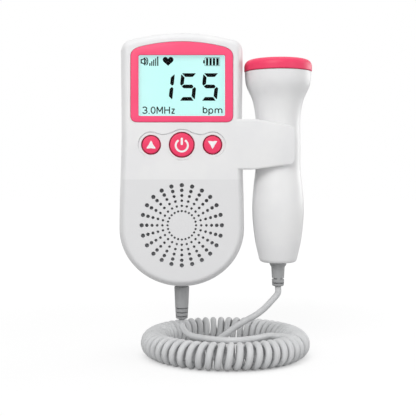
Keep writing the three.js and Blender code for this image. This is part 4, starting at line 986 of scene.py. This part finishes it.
def inkStroke(name, line, width):
    # a strip of even width along a line, laid on a key's face
    left, right = edgesOf(line, width)
    top, low = onKey(name, np.stack([left, line, right], 1))
    return lofted(np.concatenate([top, low[:, ::-1]], 1))


volumeMark = {"half": 2.45, "height": 4.15, "lift": 0.15, "corner": 0.45}
for name, way in (("volume_up", 1), ("volume_down", -1)):
    x, half = keys[name]["x"], volumeMark["half"]
    base = keyRow + way * (volumeMark["lift"] - volumeMark["height"] / 2)
    corners = [(x - half, base), (x + half, base), (x, base + way * volumeMark["height"])]
    mark = newObject(name + "Mark", inkPatch(name, eased(corners, volumeMark["corner"], 5)))
    finished(mark, whiteInk, name, "diffuser")

powerMark = {"radius": 3.1, "width": 1.0, "gap": 32, "barHalf": 0.575, "barTop": 3.95, "barBottom": 0.2,
             "drop": -0.35}
markZ, half = keyRow + powerMark["drop"], powerMark["barHalf"]
ring = arc((0, markZ), powerMark["radius"],
           np.radians(np.linspace(90 + powerMark["gap"], 450 - powerMark["gap"], 49)))
low, high = markZ + powerMark["barBottom"], markZ + powerMark["barTop"]
bar = eased([(-half, low), (half, low), (half, high), (-half, high)], half * 0.95, 7)
ink = together(inkStroke("power", ring, powerMark["width"]), inkPatch("power", bar))
finished(newObject("powerMark", ink), whiteInk, "power", "diffuser")
print("keys made")

# What the display shows: segments, signs and units, laid thinly on the panel's face

panel = {
    "face": -27.5, "proud": 0.06, "sunk": 0.02,
    "unit": 0.5135, "originX": 181.75, "originY": 174, "originZ": -44.35,
}
panelFront, panelRear = panel["face"] - panel["proud"], panel["face"] + panel["sunk"]


def onPanel(points):
    # front-view millimetres from display places, which count units of their own rightwards and downwards
    points = np.asarray(points, float)
    x = (points[..., 0] - panel["originX"]) * panel["unit"]
    z = panel["originZ"] - (points[..., 1] - panel["originY"]) * panel["unit"]
    return np.stack([x, z], -1)


def inkPrism(outline):
    # a front-view outline carried straight through the thin layer of ink
    return lofted([upright(outline, y) for y in (panelFront, panelRear)])


digit = {
    "width": 16.3, "height": 27.5, "stroke": 3.7, "mitre": 0.75, "slant": 0.1, "waist": 13.25,
    "upper": (1.15, 12.5), "lower": (13.65, 26.1), "corner": 0.22, "top": 73.3,
    "shown": (("bc", 155.8), ("afgcd", 178.45), ("afgcd", 200.55)),  # lit bars, and the left edge
}


def segment(which):
    # one of seven bars in a digit's own units, origin at its top left, mitred where bars meet
    w, h, s, e, m = (digit[key] for key in ("width", "height", "stroke", "mitre", "waist"))
    level = {"a": [(e, 0), (w - 2.2 * e, 0), (w - s - e, s), (s + e, s)],
             "g": [(1.7, m), (s, m - s / 2), (w - s - 0.6, m - s / 2), (w - 2.7, m),
                   (w - s, m + s / 2), (s + 0.3, m + s / 2)],
             "d": [(s + 0.4, h - s), (w - s - 0.4, h - s), (w - 1.2, h), (1.5, h)]}
    if which in level:
        return np.array(level[which])
    top, bottom = digit["upper" if which in "fb" else "lower"]
    long = bottom - top
    bar = np.array([(0, 0.7), (0.5, 0), (s, 3.1), (s, long - 2.1), (1.6, long), (0, long - 1.4)])
    if which in "ce":
        bar = bar * (1, -1) + (0, long)
    bar = bar + (0, top)
    return bar if which in "fe" else bar * (-1, 1) + (w, 0)


def digitShapes(which, left):
    # the lit bars of one digit, each point moved right by the slant times its height above the foot
    shapes = []
    for bar in map(segment, which):
        lean = digit["slant"] * (digit["height"] - bar[:, 1])
        leaning = bar + np.array([left, digit["top"]]) + np.stack([lean, 0 * lean], 1)
        shapes.append(inkPrism(eased(onPanel(leaning), digit["corner"], 4)))
    return shapes


def bars(*boxes):
    # rectangles by their left, top, right and lower edges
    return [inkPrism(onPanel([(x0, y0), (x1, y0), (x1, y1), (x0, y1)])) for x0, y0, x1, y1 in boxes]


def openOutline(outline, share):
    # a ring between an outline and the same one drawn in towards its middle
    centre = outline.mean(axis=0)
    inner = centre + (outline - centre) * share
    rings = [upright(outline, panelFront), upright(inner, panelFront), upright(inner, panelRear),
             upright(outline, panelRear)]
    return np.concatenate(rings), gridFaces(4, len(outline), along=True)


def flatStroke(line, width):
    # a strip of even width along a line of display places
    left, right = edgesOf(line, width)
    return inkPrism(onPanel(np.concatenate([left, right[::-1]])))


digits = [shape for which, left in digit["shown"] for shape in digitShapes(which, left)]
# heart: x = sin^3, y = (13 cos t - 5 cos 2t - 2 cos 3t - cos 4t) / 17, its lower half a little flatter
heart = {"x": 168.05, "y": 61.1, "wide": 5.4, "high": 5.9, "low": 5.2}
t = np.linspace(0, fullTurn, 60, endpoint=False)
rise = (13 * np.cos(t) - 5 * np.cos(2 * t) - 2 * np.cos(3 * t) - np.cos(4 * t)) / 17
rise *= np.where(rise > 0, heart["high"], heart["low"])
heartOutline = onPanel(np.stack([heart["x"] + heart["wide"] * np.sin(t) ** 3, heart["y"] - rise], 1))
signal = bars((149.2, 63.1, 150.4, 65.9), (151.15, 61.3, 152.3, 65.9), (153.1, 59.7, 154.2, 65.9),
              (155.1, 58.4, 156.15, 65.9), (157.1, 56.6, 158.3, 65.9))
battery = bars((203.1, 60.3, 204.5, 63.4), (206.0, 58.2, 208.2, 65.3), (209.4, 58.2, 211.7, 65.3),
               (212.8, 58.2, 215.1, 65.3), (216.2, 58.2, 218.7, 65.3), (204.6, 58.0, 205.0, 65.6),
               (205.0, 57.5, 219.6, 57.9), (205.0, 65.6, 219.6, 66.0), (219.6, 57.9, 219.9, 65.6))
horn = openOutline(onPanel([(140.6, 59.2), (142.5, 59.1), (145.3, 57), (145.3, 65.8), (142.5, 63.6),
                            (140.6, 63.5)]), 0.5)
sound = [flatStroke(arc((x, 61.4), (r, 1.25 * r), np.radians(np.linspace(-48, 48, 13))), width)
         for x, r, width in ((143.7, 2.5, 0.85), (143.6, 4.1, 1.0))]
displayMarks = newObject("displayMarks", together(
    *digits, inkPrism(heartOutline), *signal, *battery, horn, *sound))
finished(displayMarks, blackInk, "main_unit", "dark_plastic")

# Letters as strokes in a box of their own, x and y from 0 to 1: straight ones by their ends, curved ones as
# (middle, half sizes, first and last angle)
letters = {
    "3": [((0.42, 0.74), (0.5, 0.26), 155, -95), ((0.42, 0.25), (0.56, 0.25), 95, -155)],
    ".": [((0.5, 0), (0.5, 1))],
    "0": [((0.5, 0.5), (0.5, 0.5), 0, 360)],
    "M": [((0, 0), (0, 1)), ((0, 1), (0.5, 0.28)), ((0.5, 0.28), (1, 1)), ((1, 1), (1, 0))],
    "H": [((0, 0), (0, 1)), ((0, 0.52), (1, 0.52)), ((1, 0), (1, 1))],
    "z": [((0, 1), (1, 1)), ((0.95, 1), (0.05, 0)), ((0, 0), (1, 0))],
    "b": [((0, 0), (0, 1)), ((0.5, 0.35), (0.5, 0.35), 0, 360)],
    "p": [((0, 0), (0, 1)), ((0.5, 0.64), (0.5, 0.36), 0, 360)],
    "m": [((0, 0), (0, 1)), ((0.25, 0.62), (0.25, 0.38), 180, 0), ((0.5, 0), (0.5, 0.62)),
          ((0.75, 0.62), (0.25, 0.38), 180, 0), ((1, 0), (1, 0.62))],
}
words = {
    "frequencyWords": [("3", 142.9, 147.0, 107.1, 113.4), (".", 148.6, 149.4, 113.0, 113.8),
                       ("0", 151.1, 155.0, 107.1, 113.4), ("M", 157.0, 162.4, 106.8, 113.7),
                       ("H", 164.7, 169.4, 106.8, 113.7), ("z", 171.5, 174.6, 109.1, 113.4)],
    "rateWords": [("b", 203.2, 207.0, 106.6, 113.0), ("p", 208.9, 212.8, 108.9, 115.1),
                  ("m", 215.1, 221.9, 108.9, 113.2)],
}
penWidth = 1.05  # display units


def written(letter, left, right, top, bottom):
    # the strokes of one letter, each placed in the letter's box and given the pen's width
    corner, size = np.array([left, bottom]), np.array([right - left, top - bottom])
    for start, end, *sweep in letters[letter]:
        line = np.array([start, end], float)
        if sweep:
            line = arc(start, end, np.radians(np.linspace(*sweep, 25)))
        yield flatStroke(corner + line * size, penWidth)


for name, parts in words.items():
    word = newObject(name, together(*[stroke for part in parts for stroke in written(*part)]))
    finished(word, greyInk, "main_unit", "dark_plastic")
print("display drawn")

# Small pieces of the unit

cloth = {"radius": 23.4, "front": -27.76, "rear": -27.53}
clothDisc = newObject("grilleCloth", pin(cloth["radius"], cloth["front"], cloth["rear"],
                                         (0, 0, grille["centreZ"]), "y", 96))
finished(clothDisc, clothFinish, "main_unit", "foam")

bore, barrel, flange = socket["bore"], socket["radius"], socket["flange"]
mouth, boreEnd, end, flangeX = (socket[key] for key in ("mouth", "boreEnd", "end", "flangeX"))
profile = eased([(0, boreEnd), (bore, boreEnd), (bore, mouth), (barrel, mouth), (barrel, flangeX),
                 (flange, flangeX), (flange, flangeX + 1), (barrel, flangeX + 1), (barrel, end), (0, end)],
                (0, 0, 0.3, 0.3, 0, 0, 0, 0, 0.2, 0), 5, closed=False)
jack = newObject("earphoneJack", turned(profile, (0, middle, socket["height"]), "x", 56))
finished(jack, darkPlastic, "main_unit", "dark_plastic", "earphone_socket")

seat, head, shank = screwShape["seat"], screwShape["head"], screwShape["shank"]
crest, tip = seat + screwShape["thickness"], seat - screwShape["length"]
slotFloor = crest - screwShape["slotDepth"]
profile = eased([(0, tip), (shank, tip + 1.2), (shank, seat), (head, seat), (head, seat + 0.7),
                 (head * 0.6, crest), (0, crest)], (0, 0.2, 0, 0.1, 0.35, 0.6, 0), 5, closed=False)
for k, (x, z) in enumerate(screws, 1):
    screw = newObject("housingScrew%d" % k, turned(profile, (x, 0, z), "y", 40))
    for wide, high in (screwShape["slot"], screwShape["slot"][::-1]):
        carve(screw, box(x - wide, x + wide, slotFloor, crest + 1, z - high, z + high))
    finished(screw, screwSteel, "main_unit", "steel", "housing_screw_%d" % k)

# Two cells side by side, one upright and one upside down, each a jacket with crimped ends and a nub
cell = {
    "x": 7.6, "y": -9.7, "length": 50, "low": (-84.6, -88.1),
    "profile": [(0, 0), (5.2, 0), (5.2, 0.35), (6.6, 0.35), (7.1, 0.9), (7.1, 47.7), (6.7, 48.2),
                (5.9, 48.4), (2.75, 48.4), (2.75, 49.7), (2.4, 50), (0, 50)],
}
upward = [(r, cell["low"][0] + h) for r, h in cell["profile"]]
downward = [(r, cell["low"][1] + cell["length"] - h) for r, h in cell["profile"]][::-1]
for name, x, profile in (("1", -cell["x"], upward), ("2", cell["x"], downward)):
    piece = newObject("batteryCell" + name, turned(profile, (x, cell["y"], 0)))
    finished(piece, jacketFinish, "main_unit", "battery", "battery_cell_" + name, degrees=25)

spring = {"turns": 2.5, "foot": 3, "head": 1.9, "start": 0.3, "height": 2.6, "wire": 0.3,
          "plates": (-88.1, -34.6)}


def springPath(x, plateZ, way):
    # a helix whose radius shrinks evenly as it rises from its plate
    t = np.linspace(0, 1, 120)
    radius = spring["foot"] + (spring["head"] - spring["foot"]) * t
    angle = fullTurn * spring["turns"] * t
    return np.stack([x + radius * np.cos(angle), cell["y"] + radius * np.sin(angle),
                     plateZ + way * (spring["start"] + spring["height"] * t)], 1)


lowPlate, highPlate = spring["plates"]
for name, x, z, way in (("lower", -cell["x"], lowPlate, 1), ("upper", cell["x"], highPlate, -1)):
    piece = newObject(name + "Spring", tube(springPath(x, z, way), spring["wire"], 10))
    finished(piece, plateSteel, "main_unit", "steel", "battery_spring_" + name, degrees=60)

# Strain reliefs: soft sleeves with slots near the cord's end, which let them bend; the line gives their
# outer radius by height, and the profile is (radius, height) above the slots and below them
relief = {"slot": 0.62, "depth": 1.15, "slotEnds": (0.28, 0.5)}
sleeves = {
    "unit": {
        "body": "main_unit", "x": 0, "slots": (-115.1, -117.3, -119.4), "sideSlots": 0,
        "line": ([-120.6, -114.4, -103.8], [3.1, 3.5, 3.95]),
        "above": [(0, -99.1), (4.4, -99.1), (4.4, -100.7), (2.9, -100.7), (2.9, -103.8), (3.75, -103.8),
                  (3.95, -104), (3.72, -109), (3.5, -114.2)],
        "below": [(3.12, -120.3), (3.02, -120.52), (2.8, -120.6), (0, -120.6)],
    },
    "probe": {
        "body": "probe", "x": probeX, "slots": (-99.5, -101.8), "sideSlots": 1,
        "line": ([-103.5, -92.4], [3.1, 3.5]),
        "above": [(0, -87), (4.4, -87), (4.4, -88.6), (2.9, -88.6), (2.9, -91.2), (4.1, -91.2),
                  (4.4, -91.45), (4.4, -92.1), (4.15, -92.45), (3.56, -93.4), (3.5, -94), (3.3, -97.6)],
        "below": [(3.1, -102.8), (2.95, -103.2), (2.6, -103.45), (2.2, -103.5), (0, -103.5)],
    },
}


def slottedSleeve(sleeve):
    # a turned profile with a groove at each height, whose depth fades away from the front and the back,
    # or from the two sides: radius = plain radius - groove * ramp of |sine or cosine of the angle|
    slots, half = sleeve["slots"], relief["slot"] / 2
    grooved = []
    for z in slots:
        r = np.interp(z, *sleeve["line"])
        deep = r - relief["depth"]
        grooved += [(r, z + half + 0.1), (r - 0.1, z + half), (deep, z + half * 0.8),
                    (deep, z - half * 0.8), (r - 0.1, z - half), (r, z - half - 0.1)]
    points, faces = turned([*sleeve["above"], *grooved, *sleeve["below"]], (0, 0, 0), "z", 72)
    x, y, z = points.T
    radius, plain = np.hypot(x, y), np.interp(z, *sleeve["line"])
    inSlots = (z < slots[0] + 1) & (z > slots[-1] - 0.5) & (radius > 0.1)
    low, high = relief["slotEnds"]
    across = np.where(z > slots[sleeve["sideSlots"]] + 1, x, y)
    ramp = np.clip((np.abs(across) / np.maximum(radius, 0.1) - low) / (high - low), 0, 1)
    wanted = np.where(inSlots, plain - (plain - radius) * ramp, radius)
    points[:, :2] *= (wanted / np.maximum(radius, 0.1))[:, None]
    return points + np.array([sleeve["x"], middle, 0]), faces


for name, sleeve in sleeves.items():
    piece = newObject(name + "Sleeve", slottedSleeve(sleeve))
    finished(piece, reliefRubber, sleeve["body"], "relief", name + "_strain_relief")
print("small pieces made")

# Probe

probe = {
    "axis": (probeX, middle, 0), "bottom": -90.9, "passage": (-94, -86),
    "foot": 7.6, "footInside": 6.4, "footRim": 9.3,
    "side": [(9.95, -89.1), (12.2, -78.8), (13.6, -63.5), (12.95, -52), (11.85, -41.5), (11.85, -28),
             (11.85, -14.5), (13.4, -5.6), (16.9, 2.8), (17.5, 9.2)],
    "wall": 2, "seam": 0.14, "headTop": 9.2, "neck": 17.3, "neckInside": 15.5,
    "cap": 17.8, "capBottom": 9.5, "capTop": 16.15, "capRound": 3.6, "crown": 0.5,
    "skirt": 7.1, "skirtRadius": 15.2, "capBore": 13.6, "capCeiling": 13.6, "capEdge": 0.3,
}
axis, bottom, headTop, wall = probe["axis"], probe["bottom"], probe["headTop"], probe["wall"]
side = throughPoints([(r, z, 0) for r, z in probe["side"]], 1.2)[:, :2]
outside = np.concatenate([
    [(0, bottom), (probe["foot"], bottom)],
    bend((probe["foot"], bottom), (probe["footRim"], bottom), side[0], 8)[1:-1],
    side,
    [(probe["neck"], headTop), (0, headTop)],
])
inside = np.concatenate([
    [(0, bottom + wall), (probe["footInside"], bottom + wall)],
    side[side[:, 1] > bottom + wall + 1] - (wall, 0),
    [(probe["neckInside"], headTop + 2), (0, headTop + 2)],
])
for name, way in (("Front", -1), ("Rear", 1)):
    shell = newObject("probe" + name, turned(outside, axis, "z", 112))
    y0, y1 = sorted([middle + way * probe["seam"] / 2, middle - way * reach])
    carve(shell, turned(inside, axis), pin(sleeveHole, *probe["passage"], axis),
          box(-reach, reach, y0, y1, -reach, reach))
    finished(shell, housingPlastic, "probe", "housing", "probe_%s_shell" % name.lower())

cap, capBottom, bore, ceiling, skirt, skirtRadius = (
    probe[key] for key in ("cap", "capBottom", "capBore", "capCeiling", "skirt", "skirtRadius"))
domeZ = probe["capTop"] - probe["crown"] - probe["capRound"]
rim = [(cap - probe["capRound"] * (1 - math.cos(a)), domeZ + probe["capRound"] * math.sin(a))
       for a in np.linspace(0, quarterTurn, 13)]
top = rim[-1][0]
crown = [(float(r), probe["capTop"] - probe["crown"] * float(r / top) ** 2)
         for r in np.linspace(top, 0, 10)[1:]]
profile = [(0, ceiling), (bore, ceiling), (bore, skirt), (skirtRadius, skirt), (skirtRadius, capBottom),
           (cap - probe["capEdge"], capBottom), (cap, capBottom + probe["capEdge"]), *rim, *crown]
finished(newObject("probeCap", turned(profile, axis, "z", 112)), capPink, "probe", "pink", "probe_cap")
print("probe made")

# Solid pieces that keep their shape: each finish with the pieces that wear it

dressed = [
    (windowFinish, "screen_lens"),
    (displayFinish, "lcd_panel"),
    (diffuserSheet, "lcd_backlight"),
    (boardFinish, "main_board", "probe_board"),
    (darkPlastic, "processor_chip", "amplifier_chip", "volume_up_switch", "power_switch",
     "volume_down_switch", "transducer_backing"),
    (screwSteel, "board_screw_1", "board_screw_2", "board_screw_3"),
    (foamFinish, "speaker_gasket"),
    (speakerSteel, "speaker_frame", "speaker_magnet"),
    (paperFinish, "speaker_cone"),
    (plateSteel, "battery_bridge_plate", "battery_contact_positive", "battery_contact_negative"),
    (ceramicFinish, "transducer_crystal_1", "transducer_crystal_2"),
]
for finish, *names in dressed:
    for name in names:
        dressIn(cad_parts[name], finish)
print("solid pieces dressed")

# Stage and light: the camera sees a white floor with the object's shadow kept near the cord's ring, and the
# object sees a grey one

stage = {
    "floor": -139.97, "half": 2500,
    "white": 1.05, "pale": 0.88, "grey": 0.55, "room": 0.5,
    "bare": (0.12, 0.76),  # how much of the plain white shows inside the ring and around it
    "fades": ((0.034, 0.048), (0.12, 0.4)),  # metres from the ring's middle
}
half, (inside, outside) = stage["half"], stage["bare"]
floor = newObject("floor", ([(x, y, stage["floor"]) for x, y in
                             ((-half, -half), (half, -half), (half, half), (-half, half))], [[0, 1, 2, 3]]))
paper = Finish("floorPaper", {"Roughness": 0.9})
ringMiddle = [-value * mm for value in (*cord["ringCentre"][:2], stage["floor"])]
away = paper.node("VectorMath", {"operation": "LENGTH"}, {0: paper.spots(shift=ringMiddle)}, "Value")
bare = paper.node("Emission", {}, {"Color": (1, 1, 1, 1), "Strength": stage["white"]})
eyeRay = paper.node("LightPath", {}, {}, "Is Camera Ray")
greyTone, paleTone = ((*[stage[tone]] * 3, 1) for tone in ("grey", "pale"))
paper.vary(base=paper.mix(eyeRay, greyTone, paleTone))
near, far = stage["fades"]
share = inside + (outside - inside) * away.between(*near) + (1 - outside) * away.between(*far)
shown = paper.node("MixShader", {}, {0: eyeRay * share, 1: Term(paper, paper.shader.outputs[0]), 2: bare})
paper.feed(paper.output, {"Surface": shown})
floor.data.materials.append(paper.material)

world = bpy.data.worlds.new("softRoom")
bpy.context.scene.world = world
room = Recipe(world, "ShaderNodeOutputWorld")
seen, glossy, through = (room.node("LightPath", {}, {}, kind)
                         for kind in ("Is Camera Ray", "Is Glossy Ray", "Is Transmission Ray"))
for ray in (glossy, through):
    seen = room.node("Math", {"operation": "MAXIMUM"}, {0: seen, 1: ray})
soft, plain = (room.node("Background", {}, {"Color": (1, 1, 1, 1), "Strength": strength})
               for strength in (stage["room"], 1.0))
room.feed(room.output, {"Surface": room.node("MixShader", {}, {0: seen, 1: soft, 2: plain})})

lamps = {
    "keyLamp": {"place": (-340, -930, 630), "aim": (10, -15, -50), "size": 600, "power": 6.4},
    "fillLamp": {"place": (700, -800, 100), "aim": (20, -15, -60), "size": 700, "power": 1.5},
    "rimLamp": {"place": (520, 260, 60), "aim": (50, -15, -40), "size": 260, "power": 0.8},
    "topLamp": {"place": (60, 60, 800), "aim": (20, -15, -60), "size": 600, "power": 1.2},
}
for name, lamp in lamps.items():
    light = bpy.data.lights.new(name, "AREA")
    light.shape, light.size, light.energy = "SQUARE", lamp["size"] * mm, lamp["power"]
    way = np.array(lamp["aim"]) * mm - np.array(lamp["place"]) * mm
    x, y, z = way / np.linalg.norm(way)
    placed(name, light, lamp["place"], (math.acos(-z), 0, math.atan2(-x, y)))
bpy.context.scene.view_settings.view_transform = "Standard"
print("stage lit")
